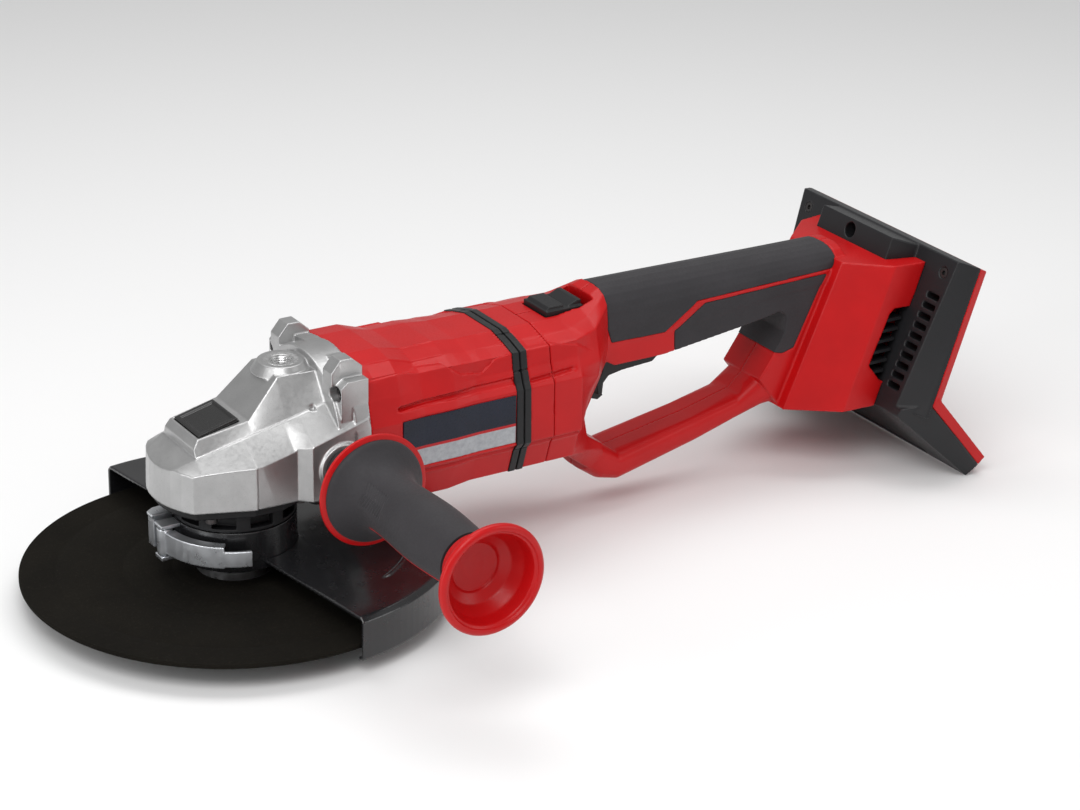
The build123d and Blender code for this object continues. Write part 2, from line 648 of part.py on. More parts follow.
def clamp_lever():
    """Over-centre lever of bent steel strip, lying round the band."""
    arm_outer = arc_points(42.2, 184, 236, 9)
    arm_inner = arc_points(36.2, 236, 184, 9)
    arm = upright(arm_outer + arm_inner, 28.8, 41.0)
    tab = upright(arc_points(42.2, 236, 256, 5) + arc_points(40.2, 256, 236, 5), 29.5, 38.5)
    eye = rod((GUARD_HINGE[0], GUARD_HINGE[1], 27.4), (0, 0, 1), 4.2, 14.8)
    hollow = upright(arc_points(40.4, 186, 238, 9) + arc_points(34.0, 238, 186, 9), 30.4, 39.4)
    lever = arm + tab + eye - hollow
    return lever - rod((GUARD_HINGE[0], GUARD_HINGE[1], 20), (0, 0, 1), 2.0 + RUNNING_GAP, 30)


# ---------------------------------------------------------------- side handle
def handle_turned(points):
    """A body of revolution about the side handle's axis, from (radius, distance out) points."""
    place = Plane(origin=(SIDE_X, -SIDE_FLANGE_Y, SIDE_Z), x_dir=(1, 0, 0), z_dir=(0, -1, 0))
    return place * turned(points)


def side_handle_stud():
    stud = rod((SIDE_X, -30, SIDE_Z), (0, -1, 0), HOLE_RADIUS - RUNNING_GAP, 40)
    return stud + rod((SIDE_X, -70, SIDE_Z), (0, -1, 0), 4.0, 60)


def side_handle_neck():
    """Rubber damper between the stud's shoulder and the handle."""
    return handle_turned([
        (6.0, -28.4), (11.5, -28.4), (11.5, -9.0), (14.5, -2.5), (14.5, -0.05), (6.0, -0.05),
    ])


def side_handle_flange():
    """Guard ring at the inner end of the handle."""
    return handle_turned([(6.05, 0), (29.5, 0), (31.0, 1.5), (31.0, 3.0), (28.5, 3.4), (6.05, 3.4)])


def side_handle_core():
    """Hard tube that the soft grip is moulded over, closed at its outer end."""
    return handle_turned([
        (6.05, 3.45), (12.5, 3.45), (12.5, 96.0), (14.8, 97.95), (14.8, 101.4), (0, 101.4), (0, 99.0),
        (6.05, 99.0),
    ])


def side_handle_cup():
    """Flared cup that ends the handle."""
    return handle_turned([
        (14.85, 98.0), (15.9, 98.9), (20.0, 108.0), (27.0, 116.5), (29.5, 119.0), (29.5, 121.0),
        (27.5, 122.5), (25.0, 121.5), (22.0, 113.0), (17.0, 104.5), (14.85, 102.6),
    ])


def side_handle_grip():
    """Soft grip moulded over the core, with a trumpet face at the flange."""
    return handle_turned([
        (12.55, 3.45), (28.4, 3.45), (27.8, 5.2), (24.0, 8.0), (19.0, 13.5), (16.6, 20.0), (16.1, 27.0),
        (16.8, 40.0), (17.6, 55.0), (17.6, 68.0), (16.9, 80.0), (16.0, 92.0), (15.6, 97.9), (12.55, 95.9),
    ])


# ---------------------------------------------------------------- rear handle
GRIP_SECTIONS = [
    (GRIP_START, 81.0, 131.7, GRIP_HALF),
    (262.0, 82.3, 131.2, GRIP_HALF),
    (312.0, 90.4, 130.2, GRIP_HALF),
    (345.0, 95.0, 129.6, GRIP_HALF),
    (GRIP_END + 6, 98.0, 129.0, GRIP_HALF),
]
OPENING = [(209.5, 49.5), (209.5, 62.0), (213.5, 73.0), (219.5, 81.0), (223.5, 90.0), (229.5, 86.5),
           (262.0, 86.5), (312.0, 92.5), (334.0, 95.5), (344.0, 97.5), (348.5, 94.0), (348.0, 84.0),
           (340.4, 70.0), (331.0, 56.6), (322.0, 47.8), (290.0, 40.0), (235.0, 30.5), (222.0, 40.5)]
BAR_SECTIONS = [(214.0, 22.0, 52.0, 18.2), (224.0, 15.0, 40.0, 18.2), (236.0, 12.3, 31.2, 17.8),
                (290.0, 23.8, 41.2, 15.8), (319.0, 32.4, 47.2, 15.8), (337.0, 36.6, 60.0, 16.8),
                (356.0, 37.6, 70.0, 18.2)]


def grip_body(inset):
    """The grip from the barrel to the rear box, drawn in all round by inset."""
    return loft_x([(x, oval(w - inset, low + inset, high - inset)) for x, low, high, w in GRIP_SECTIONS])


def lower_bar():
    """Rounded bar under the hand, from the barrel back to the rear box."""
    return loft_x([(x, oval(w, low, high, power=3.2)) for x, low, high, w in BAR_SECTIONS])


def rear_box(inset=0.0):
    """Flared box between the grip and the battery plate."""
    def ring(z, nose, corner, plate, side):
        half = [(nose + inset, -25 + inset * 0.5), (corner + inset, -45.5 + inset), (plate, -side + inset)]
        return [Vector(x, y, z) for x, y in half] + [Vector(x, -y, z) for x, y in reversed(half)]

    low, high = 37.6 + inset, 123.0 - inset
    bottom = ring(low, 344.5 + inset * 0.3, 373.0, plate_front(low), 46.5)
    top = ring(high, 381.6 + inset * 0.3, 404.9, plate_front(high), 48.5)
    wires = [Wire.make_polygon(points, close=True) for points in (bottom, top)]
    return Solid.make_loft(wires, ruled=True)


def plate_front(z):
    """x of the battery plate's front face at a height."""
    return PLATE_X + math.tan(math.radians(PLATE_TILT)) * (z - PLATE_Z)


def soft_zone():
    """Side outline of the grip that the soft cover takes up, as a body right across."""
    return profile([
        (GRIP_START + 0.5, 140), (GRIP_START + 0.5, 110), (226.5, 101.0), (262.5, 100.3), (284.5, 115.0),
        (372.0, 117.2), (GRIP_END - 1, 117.8), (GRIP_END - 1, 140),
    ], -40, 40)


def panel_zone():
    """Side outline of the lower grip panel and the dark column behind it."""
    return profile([
        (270.5, 80.0), (269.5, 99.5), (289.5, 112.8), (372.0, 115.0), (376.0, 115.0), (371.0, 106.0),
        (355.0, 72.6), (347.0, 70.5), (338.0, 73.0),
    ], -40, 40)


def handle_solid():
    """Outer form of both handle shells together, before hollowing."""
    barrel = loft_x([
        (COLLAR_END + TURN_GAP, REAR_OUTLINE), (192.0, REAR_OUTLINE), (208.0, TAPER_OUTLINE),
        (GRIP_START + 0.4, NOSE_OUTLINE),
    ])
    upper = profile([
        (214.0, 86.0), (214.0, 110.0), (392.0, 118.0), (400.0, 96.0), (372.0, 37.4), (345.0, 39.6),
        (331.0, 57.0), (331.0, 86.0),
    ], -18.4, 18.4)
    body = barrel + lower_bar() + upper + grip_body(0) + rear_box()
    return body - profile(OPENING, -60, 60)


def handle_cavity():
    """Space inside the shells for the swivel flange, the switch, the trigger and the electronics."""
    front = loft_x([
        (182.6, shrink(REAR_OUTLINE, WALL + 0.6)), (192.0, shrink(REAR_OUTLINE, WALL + 0.6)),
        (207.0, shrink(TAPER_OUTLINE, WALL + 2.5)), (213.0, shrink(TAPER_OUTLINE, WALL + 8.0)),
    ])
    throat = rod((COLLAR_END, 0, AXIS_Z), (1, 0, 0), 30.0 + RUNNING_GAP, 10.0)
    return front + throat + trigger_channel() + box_cavity()


def trigger_channel():
    """Channel along the grip for the paddle, the switch and the wires."""
    return profile([
        (206.0, 94.0), (219.0, 94.0), (219.0, 78.0), (240.0, 78.0), (330.0, 88.0), (346.0, 90.0),
        (346.0, 110.0), (392.0, 111.0), (392.0, 116.0), (330.0, 120.0), (206.0, 120.0),
    ], -10.7, 10.7)


def box_cavity():
    def ring(z, nose, corner, plate):
        half = [(nose, -20.0), (corner, -41.0), (plate, -42.5)]
        return [Vector(x, y, z) for x, y in half] + [Vector(x, -y, z) for x, y in reversed(half)]

    bottom = ring(43.0, 358.0, 378.0, plate_front(43.0) + 1)
    top = ring(118.0, 388.0, 407.0, plate_front(118.0) + 1)
    wires = [Wire.make_polygon(points, close=True) for points in (bottom, top)]
    return Solid.make_loft(wires, ruled=True)


def vent_notch():
    """Recess in each side of the rear box, behind which the vent ribs stand."""
    return both_sides(profile([
        (390.0, 63.8), (402.4, 94.1), (406.0, 97.0), (440.0, 97.0), (440.0, 50.0), (398.5, 52.8),
    ], -60, -33))


def handle_shells():
    """The two moulded halves of the rear handle."""
    body = handle_solid() - handle_cavity() - vent_notch() - soft_cover() - grip_panels()
    body = body - slider_pocket() - hood()
    for x, z in SHELL_SCREWS:
        body -= rod((x, 60.0, z), (0, -1, 0), 1.85, 60.0 + SHELL_SCREW_HALF)
    body -= rod((TRIGGER_PIVOT[0], -PIN_HALF, TRIGGER_PIVOT[1]), (0, 1, 0), 2.5, 2 * PIN_HALF)
    left = body & block(100, 500, -100, 0, -50, 200)
    right = body & block(100, 500, 0, 100, -50, 200)
    return biggest(left), biggest(right)


def biggest(shape):
    """The largest solid of a shape."""
    return sorted(shape.solids(), key=lambda s: s.volume)[-1]


def soft_cover():
    """Soft skin over the top of the grip."""
    return (grip_body(0) - grip_body(SKIN)) & soft_zone()


def grip_panels():
    """Soft skin over the lower sides of the grip and round the rear column."""
    column_face = profile([
        (325.0, 96.0), (344.0, 100.5), (351.0, 95.5), (350.5, 83.0), (342.6, 69.0), (336.0, 72.0), (325.0, 80.0),
    ], -30, 30)
    core = block(200, 420, -18.4 + SKIN, 18.4 - SKIN, 40, 118) - column_face + grip_body(SKIN)
    skin = (handle_solid() & panel_zone()) - core - soft_cover() - trigger_channel()
    left = biggest(skin & block(200, 420, -40, -HALF_JOINT, 40, 140))
    right = biggest(skin & block(200, 420, HALF_JOINT, 40, 40, 140))
    return Compound(children=[Solid(left.wrapped), Solid(right.wrapped)])


def slider_pocket():
    return block(186.0, 217.0, -12.6, 12.6, 119.0, 130.0)


def release_slider():
    """Sliding thumb button that frees the handle for turning."""
    slab = block(187.0, 211.0, -12.0, 12.0, 119.4, 124.6)
    ramp = profile([(200.0, 124.0), (210.5, 124.0), (210.5, 127.6), (208.0, 127.6)], -10.5, 10.5)
    thumb = profile([(187.0, 124.0), (189.5, 126.4), (199.0, 126.4), (199.0, 124.0)], -10.5, 10.5)
    return slab + ramp + thumb


def trigger_paddle():
    """Long paddle under the grip, hinged at its rear end."""
    px, pz = TRIGGER_PIVOT
    outer = profile([
        (224.6, 66.0), (223.6, 73.0), (227.0, 80.0), (229.0, 90.0), (255.0, 93.0), (300.0, 99.5),
        (px - 4, pz + 3.4), (px, pz + 4.4), (px + 4.4, pz), (px, pz - 4.6), (316.0, 95.0), (300.0, 91.0),
        (275.0, 86.8), (266.0, 83.8), (261.0, 79.6), (240.5, 78.4), (231.5, 76.8), (228.0, 73.0),
        (227.4, 66.6),
    ], -9.5, 9.5)
    hollow = profile([
        (232.0, 80.5), (233.0, 88.6), (255.0, 91.0), (255.0, 110.0), (300.0, 110.0), (318.0, 104.0),
        (318.0, 98.0), (300.0, 93.5), (275.0, 89.4), (262.0, 84.0), (258.0, 81.4), (240.0, 80.2),
    ], -7.0, 7.0)
    slot = block(220, 246, -4.3, 4.3, 55, 88.2)
    pivot = rod((px, -20, pz), (0, 1, 0), 2.5 + RUNNING_GAP, 40)
    pin_hole = rod((LOCK_PIVOT[0], -20, LOCK_PIVOT[1]), (0, 1, 0), 1.5, 40)
    return outer - hollow - slot - pivot - pin_hole


def trigger_pin():
    px, pz = TRIGGER_PIVOT
    return rod((px, -PIN_HALF, pz), (0, 1, 0), 2.5, 2 * PIN_HALF)


def lock_off_pin():
    return rod((LOCK_PIVOT[0], -9.4, LOCK_PIVOT[1]), (0, 1, 0), 1.5, 18.8)


def lock_off_tab():
    """Safety tab in the paddle's nose that has to be drawn back first."""
    x, z = LOCK_PIVOT
    arm = profile([
        (x - 3, z + 3), (x + 3, z + 3), (x + 3, z - 3), (230.5, 74.0), (228.5, 67.0), (231.5, 63.0),
        (228.0, 60.8), (223.0, 62.6), (224.0, 68.0), (227.5, 76.0),
    ], -4.0, 4.0)
    return arm - rod((x, -20, z), (0, 1, 0), 1.5 + RUNNING_GAP, 40)


def switch_body():
    case = block(264.0, 302.0, -9.0, 9.0, 108.0, 119.0)
    return case + rod((283.0, 0, 95.4), (0, 0, 1), 3.0, 13.0)


def shell_screws():
    group = []
    for x, z in SHELL_SCREWS:
        group.append(rod((x, SHELL_SCREW_HALF, z), (0, -1, 0), 1.8, 2 * SHELL_SCREW_HALF - 0.5))
    return Compound(children=[Solid(s.solid().wrapped) for s in group])


# ---------------------------------------------------------------- battery plate
def plate_slab(u0, u1, half0, half1, n0, n1, back0, back1):
    """A slab of the tilted plate: half widths at the front (half) and at the back (back)."""
    front = [tilted(u0, -half0, n0), tilted(u1, -half1, n0), tilted(u1, half1, n0), tilted(u0, half0, n0)]
    rear = [tilted(u0, -back0, n1), tilted(u1, -back1, n1), tilted(u1, back1, n1), tilted(u0, back0, n1)]
    wires = [Wire.make_polygon([Vector(*p) for p in ring], close=True) for ring in (front, rear)]
    return Solid.make_loft(wires, ruled=True)


def hood():
    """Raised block at the top of the plate that the rear box fits under."""
    return plate_slab(74.0, 92.0, 33.0, 33.0, -17.0, 0.0, 38.0, 38.0)


def battery_plate():
    """Dark front plate with bevelled sides, the hood and the flared foot."""
    edge = PLATE_THICKNESS - 1.5
    plate = plate_slab(0, PLATE_LENGTH, 63.5, 73.5, 0, edge, 80.0, 80.5)
    plate += plate_slab(0, PLATE_LENGTH, 80.0, 80.5, edge, PLATE_THICKNESS, PLATE_HALF, PLATE_HALF)
    bend = tilted(BEND_U, 0, PLATE_THICKNESS)
    foot = profile([(395.8, 38.5), (PLATE_X, PLATE_Z), (bend[0], bend[2]), FOOT_TIP, (442.3, -5.2)],
                   -PLATE_HALF, PLATE_HALF)
    arch = profile([(380.0, 30.0), (440.0, -14.0), (440.0, -2.0), (400.0, 36.0)], -46.0, 46.0)
    body = plate + (foot - arch - both_sides(foot_bevel())) + hood()
    body -= plate_slab(10.0, 72.0, 40.0, 40.0, -1.0, PLATE_THICKNESS + 1, 40.0, 40.0)
    body -= rod(tilted(85.0, 4.0, -18.0), (1, 0, -0.2), 4.5, 12.0)
    for i in range(VENT_SLOTS):
        body -= both_sides(vent_slot(9.0 + 6.4 * i, 56.0 + 0.75 * i))
    for y in (-64.5, 64.5):
        start = tilted(83.5, y, -1.0)
        body -= rod(start, PLATE_NORMAL, 3.2, 4.0)
        body -= rod(start, PLATE_NORMAL, 1.8, 11.0)
    return body


def vent_slot(u, y):
    """One short slot across the plate, beside the rear box."""
    return plate_bar(u, u + 3.4, -y - 5.2, -y + 5.2, -1.0, PLATE_THICKNESS + 1)


def foot_bevel():
    """Bevel at one end of the foot, carrying on the plate's bevelled side."""
    top = [Vector(386.0, -64.5, 52.0), Vector(386.0, -100.0, 52.0), Vector(413.0, -81.4, 47.6)]
    tip = [Vector(430.0, -76.0, -12.0), Vector(430.0, -100.0, -12.0), Vector(452.0, -81.4, -3.0)]
    wires = [Wire.make_polygon(ring, close=True) for ring in (top, tip)]
    return Solid.make_loft(wires, ruled=True)


def rear_plate():
    """Red back plate that closes the rear handle and carries the battery rails."""
    back = PLATE_THICKNESS + REAR_PLATE
    plate = plate_slab(BEND_U, PLATE_LENGTH - 1.0, PLATE_HALF, PLATE_HALF, PLATE_THICKNESS, back,
                       PLATE_HALF - 1, PLATE_HALF - 1)
    bend = tilted(BEND_U, 0, PLATE_THICKNESS)
    run, drop = FOOT_TIP[0] - bend[0], bend[2] - FOOT_TIP[1]
    length = math.hypot(run, drop)
    across = (REAR_PLATE * drop / length, REAR_PLATE * run / length)
    foot = profile([
        (bend[0], bend[2]), FOOT_TIP, (FOOT_TIP[0] + across[0], FOOT_TIP[1] + across[1]),
        (bend[0] + across[0], bend[2] + across[1]),
    ], -PLATE_HALF, PLATE_HALF)
    return plate + foot


def battery_rails(y):
    """A pair of T rails on which one battery pack slides down."""
    back = PLATE_THICKNESS + REAR_PLATE
    pair = []
    for side in (-1, 1):
        mid = y + side * 22.0
        stem = plate_bar(14.0, 80.0, mid - 2.5, mid + 2.5, back, back + 4.0)
        low = mid - (5.0 if side < 0 else 2.5)
        head = plate_bar(14.0, 80.0, low, low + 7.5, back + 4.0, back + 7.0)
        pair.append(stem + head)
    return pair


def plate_bar(u0, u1, y0, y1, n0, n1):
    """A straight bar along the plate."""
    corners = [tilted(u, y, n0) for u, y in ((u0, y0), (u1, y0), (u1, y1), (u0, y1))]
    return extrude(flat(corners), amount=n1 - n0, dir=PLATE_NORMAL)


def all_rails():
    group = []
    for y in (-40.0, 40.0):
        group += battery_rails(y)
    return Compound(children=[Solid(s.solid().wrapped) for s in group])


def terminal_blocks():
    """Contact blocks low on the rear plate, one for each battery, with blade contacts."""
    back = PLATE_THICKNESS + REAR_PLATE
    group = []
    for y in (-40.0, 40.0):
        body = plate_bar(16.0, 34.0, y - 14.0, y + 14.0, back, back + 6.0)
        for dy in (-9.0, 0.0, 9.0):
            body += plate_bar(34.0, 44.0, y + dy - 0.5, y + dy + 0.5, back, back + 5.0)
        group.append(body)
    return Compound(children=[Solid(s.solid().wrapped) for s in group])


def plate_screws():
    group = []
    for y in (-64.5, 64.5):
        group.append(screw(tilted(83.5, y, 0.4), PLATE_NORMAL, 3.0, 7.0))
    return Compound(children=[Solid(s.solid().wrapped) for s in group])


def vent_ribs():
    """Cooling ribs in the notch of each side of the rear box."""
    group = []
    for side in (-1, 1):
        for i in range(6):
            z = 58.0 + 6.2 * i
            x = plate_front(z)
            y0, y1 = sorted((side * 45.6, side * 35.0))
            group.append(block(x - 15.0, x - 1.4, y0, y1, z, z + 1.8) & vent_notch())
    return Compound(children=[Solid(s.solid().wrapped) for s in group])


def control_board():
    """Potted motor electronics in the rear box."""
    return plate_bar(14.0, 66.0, -30.0, 30.0, -12.0, -4.0)


def heat_sink():
    base = plate_bar(16.0, 64.0, -26.0, 26.0, -3.8, -1.5)
    for i in range(7):
        y = -24.0 + 8.0 * i
        base += plate_bar(16.0, 64.0, y - 0.8, y + 0.8, -1.6, 6.0)
    return base


# ---------------------------------------------------------------- write every piece
def make_parts():
    left, right = handle_shells()
    return {
        "gear_case": gear_case(),
        "bearing_cover": bearing_cover(),
        "case_screws": case_screws(),
        "spindle_bearing": bearing((0, 0, COVER_BOTTOM - 6.9), (0, 0, 1), 17.5, 7.0 + RUNNING_GAP, 11.0),
        "spindle_bush": tube((0, 0, 84.6), (0, 0, 1), 9.0, 5.0 + RUNNING_GAP, 8.8),
        "lock_button": lock_button(),
        "lock_pin": lock_pin(),
        "lock_spring": lock_spring(),
        "spindle": spindle(),
        "crown_wheel": crown_wheel(),
        "crown_nut": crown_nut(),
        "inner_flange": inner_flange(),
        "cutting_disc": cutting_disc(),
        "disc_ring": disc_ring(),
        "clamping_nut": clamping_nut(),
        "rotor_shaft": rotor_shaft(),
        "pinion": pinion(),
        "rotor_core": rotor_core(),
        "fan": fan(),
        "air_baffle": air_baffle(),
        "stator": stator(),
        "stator_coils": stator_coils(),
        "front_bearing": bearing((40.5, 0, AXIS_Z), (1, 0, 0), 16.0, 6.0, 10.0),
        "rear_bearing": bearing((134.5, 0, AXIS_Z), (1, 0, 0), 11.0, 4.0, 7.0),
        "motor_housing": motor_housing(),
        "label_plate_left": label_plate(-1),
        "label_plate_right": label_plate(1),
        "damping_rings": damping_rings(),
        "link_tube": link_tube(),
        "rear_collar": rear_collar(),
        "guard_shell": guard_shell(),
        "guard_band": guard_band(),
        "guard_hinge": guard_hinge(),
        "guard_catch": guard_catch(),
        "clamp_lever": clamp_lever(),
        "side_handle_stud": side_handle_stud(),
        "side_handle_neck": side_handle_neck(),
        "side_handle_flange": side_handle_flange(),
        "side_handle_core": side_handle_core(),
        "side_handle_cup": side_handle_cup(),
        "side_handle_grip": side_handle_grip(),
        "handle_shell_left": left,
        "handle_shell_right": right,
        "shell_screws": shell_screws(),
        "soft_cover": soft_cover(),
        "grip_panels": grip_panels(),
        "release_slider": release_slider(),
        "trigger_paddle": trigger_paddle(),
        "trigger_pin": trigger_pin(),
        "lock_off_tab": lock_off_tab(),
        "lock_off_pin": lock_off_pin(),
        "switch_body": switch_body(),
        "battery_plate": battery_plate(),
        "rear_plate": rear_plate(),
        "battery_rails": all_rails(),
        "terminal_blocks": terminal_blocks(),
        "plate_screws": plate_screws(),
        "vent_ribs": vent_ribs(),
        "control_board": control_board(),
        "heat_sink": heat_sink(),
    }


def main():
    os.makedirs("parts", exist_ok=True)
    for name, shape in make_parts().items():
        export_step(shape, f"parts/{name}.step")
        print(name, len(shape.solids()), round(shape.volume))


main()
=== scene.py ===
"""Looks for the cordless angle grinder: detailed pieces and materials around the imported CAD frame.

Lengths below are in millimetres and are turned into metres by MM. The frame is the part's own:
origin on the spindle axis at the clamping nut, +X back to the battery plate, +Z up.
"""
import json
import math

import bmesh
import bpy
import numpy as np
from mathutils import Matrix, Vector


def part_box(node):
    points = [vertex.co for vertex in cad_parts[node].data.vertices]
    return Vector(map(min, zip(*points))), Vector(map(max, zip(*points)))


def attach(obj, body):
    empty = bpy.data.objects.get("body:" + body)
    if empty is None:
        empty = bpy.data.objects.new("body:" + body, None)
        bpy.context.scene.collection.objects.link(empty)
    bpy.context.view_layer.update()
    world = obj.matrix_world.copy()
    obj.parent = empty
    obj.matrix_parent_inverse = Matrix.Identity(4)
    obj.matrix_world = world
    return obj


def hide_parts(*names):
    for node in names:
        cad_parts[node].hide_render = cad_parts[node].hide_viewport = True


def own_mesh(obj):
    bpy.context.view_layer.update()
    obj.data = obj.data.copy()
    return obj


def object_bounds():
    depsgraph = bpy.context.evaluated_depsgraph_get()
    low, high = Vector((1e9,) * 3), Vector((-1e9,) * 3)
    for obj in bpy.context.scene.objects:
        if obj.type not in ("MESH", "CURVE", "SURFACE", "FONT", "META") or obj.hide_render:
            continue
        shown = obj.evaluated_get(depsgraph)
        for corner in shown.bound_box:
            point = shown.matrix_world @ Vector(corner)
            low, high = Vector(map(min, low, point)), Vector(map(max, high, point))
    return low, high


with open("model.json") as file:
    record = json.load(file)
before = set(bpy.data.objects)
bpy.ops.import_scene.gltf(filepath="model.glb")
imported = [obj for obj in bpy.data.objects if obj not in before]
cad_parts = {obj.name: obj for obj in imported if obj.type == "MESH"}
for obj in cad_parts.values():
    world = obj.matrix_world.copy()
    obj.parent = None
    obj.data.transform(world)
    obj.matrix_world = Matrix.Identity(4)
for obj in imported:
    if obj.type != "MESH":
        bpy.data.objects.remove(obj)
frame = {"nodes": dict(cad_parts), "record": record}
cad_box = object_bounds()

MM = 0.001
COARSE = 1.0
MAX_TRIANGLES = 150000
NODES = frame["nodes"]
RECORD = frame["record"]
BODY_OF = {n: body for body, nodes in RECORD["behaviour"]["bodies"].items() for n in nodes}
SLOT_OF = {s["node"]: s["material_slot"] for s in RECORD["subparts"]}
AXIS_Z = 84.0


# ---------------------------------------------------------------- camera, light and floor
def add_camera():
    """Camera at the photograph's angle: azimuth, elevation and roll about the target."""
    azimuth, elevation, roll = (math.radians(a) for a in (-32.657, 23.329, 1.356))
    target = Vector((191.83, 0, 63.52)) * MM
    distance = 1651.2 * MM
    back = Vector((math.sin(azimuth) * math.cos(elevation), -math.cos(azimuth) * math.cos(elevation),
                   math.sin(elevation)))
    level = Vector((math.cos(azimuth), math.sin(azimuth), 0))
    above = level.cross(-back)
    right = math.cos(roll) * level + math.sin(roll) * above
    up = -math.sin(roll) * level + math.cos(roll) * above
    data = bpy.data.cameras.new("camera")
    data.sensor_width = 36.0
    data.lens = 97.86
    data.clip_end = 20.0
    camera = bpy.data.objects.new("camera", data)
    camera.matrix_world = Matrix.Translation(target + back * distance) @ Matrix(
        (right, up, back)).transposed().to_4x4()
    bpy.context.scene.collection.objects.link(camera)
    bpy.context.scene.camera = camera


def add_light(name, place, target, size, watts):
    data = bpy.data.lights.new(name, "AREA")
    data.shape = "RECTANGLE"
    data.size, data.size_y = size
    data.energy = watts
    light = bpy.data.objects.new(name, data)
    light.location = place
    light.rotation_euler = (Vector(target) - Vector(place)).to_track_quat("-Z", "Y").to_euler()
    bpy.context.scene.collection.objects.link(light)


def add_lights():
    middle = (0.2, 0.0, 0.07)
    add_light("key", (-0.55, -0.75, 1.25), middle, (0.9, 0.7), 11)
    add_light("top", (0.35, 0.25, 1.35), middle, (1.4, 0.7), 9)
    add_light("side", (1.25, -1.15, 0.75), middle, (0.8, 0.8), 4.5)
    add_light("front", (-1.3, -0.2, 0.55), middle, (0.5, 1.0), 6)
    world = bpy.data.worlds.new("studio")
    world.use_nodes = True
    background = world.node_tree.nodes["Background"]
    background.inputs["Color"].default_value = (1.0, 1.0, 1.0, 1)
    background.inputs["Strength"].default_value = 0.40
    bpy.context.scene.world = world
    bpy.context.scene.view_settings.view_transform = "Standard"
    bpy.context.scene.view_settings.look = "None"


def add_floor():
    half, z = 4.0, cad_box[0][2] - 0.0002
    mesh = bpy.data.meshes.new("floor")
    corners = [(-half, -half, z), (half, -half, z), (half, half, z), (-half, half, z)]
    mesh.from_pydata(corners, [], [(0, 1, 2, 3)])
    floor = bpy.data.objects.new("floor", mesh)
    bpy.context.scene.collection.objects.link(floor)
    mesh.materials.append(plain_floor())


def plain_floor():
    mat = bpy.data.materials.new("floor_pale")
    mat.use_nodes = True
    shader = mat.node_tree.nodes["Principled BSDF"]
    shader.inputs["Base Color"].default_value = (0.86, 0.86, 0.86, 1)
    shader.inputs["Roughness"].default_value = 0.9
    shader.inputs["Specular IOR Level"].default_value = 0.1
    return mat


# ---------------------------------------------------------------- materials
class Look:
    """A small builder for one node-based material."""

    def __init__(self, name, colour, rough, metal=0.0, **inputs):
        self.mat = bpy.data.materials.new(name)
        self.mat.use_nodes = True
        self.tree = self.mat.node_tree
        self.shader = self.tree.nodes["Principled BSDF"]
        self.coords = self.tree.nodes.new("ShaderNodeTexCoord").outputs["Object"]
        self.colour = (*colour, 1)
        self.rough = rough
        self.shader.inputs["Base Color"].default_value = self.colour
        self.shader.inputs["Roughness"].default_value = rough
        self.shader.inputs["Metallic"].default_value = metal
        for key, value in inputs.items():
            self.shader.inputs[key.replace("_", " ")].default_value = value
        self.mat.diffuse_color = self.colour

    def node(self, kind, **settings):
        made = self.tree.nodes.new(kind)
        for key, value in settings.items():
            if key in made.inputs:
                made.inputs[key].default_value = value
            else:
                setattr(made, key, value)
        return made

    def link(self, a, b):
        self.tree.links.new(a, b)

    def noise(self, scale, detail=3.0, rough=0.55, stretch=(1, 1, 1)):
        """Noise of features about 1/scale metres wide, stretched along the axes."""
        place = self.node("ShaderNodeMapping")
        place.inputs["Scale"].default_value = stretch
        self.link(self.coords, place.inputs["Vector"])
        noise = self.node("ShaderNodeTexNoise", Scale=scale, Detail=detail, Roughness=rough)
        self.link(place.outputs["Vector"], noise.inputs["Vector"])
        return noise.outputs["Fac"]

    def ramp(self, value, low, high, start=0.0, end=1.0):
        """Maps value from low..high to start..end, held at the ends."""
        mapped = self.node("ShaderNodeMapRange")
        mapped.inputs["From Min"].default_value = low
        mapped.inputs["From Max"].default_value = high
        mapped.inputs["To Min"].default_value = start
        mapped.inputs["To Max"].default_value = end
        self.link(value, mapped.inputs["Value"])
        return mapped.outputs["Result"]

    def mix(self, share, a, b):
        """Mixes two colours, each a socket or three numbers."""
        mix = self.node("ShaderNodeMix", data_type="RGBA")
        self.link(share, mix.inputs["Factor"])
        for socket, value in ((mix.inputs[6], a), (mix.inputs[7], b)):
            if isinstance(value, bpy.types.NodeSocket):
                self.link(value, socket)
            else:
                socket.default_value = (*value, 1)
        return mix.outputs[2]

    def vary(self, share, dark=0.85, light=1.12):
        """Base colour that runs between a darker and a lighter tint."""
        c = self.colour[:3]
        lighter = [min(1.0, v * light) for v in c]
        out = self.mix(share, [v * dark for v in c], lighter)
        self.link(out, self.shader.inputs["Base Color"])
        return out

    def roughen(self, share, low, high):
        self.link(self.ramp(share, 0.3, 0.7, low, high), self.shader.inputs["Roughness"])

    def bump(self, height, strength, distance):
        """Adds a bump on top of any bump that is there already."""
        bump = self.node("ShaderNodeBump", Strength=strength, Distance=distance * MM)
        self.link(height, bump.inputs["Height"])
        before = self.shader.inputs["Normal"].links
        if before:
            self.link(before[0].from_socket, bump.inputs["Normal"])
        self.link(bump.outputs["Normal"], self.shader.inputs["Normal"])


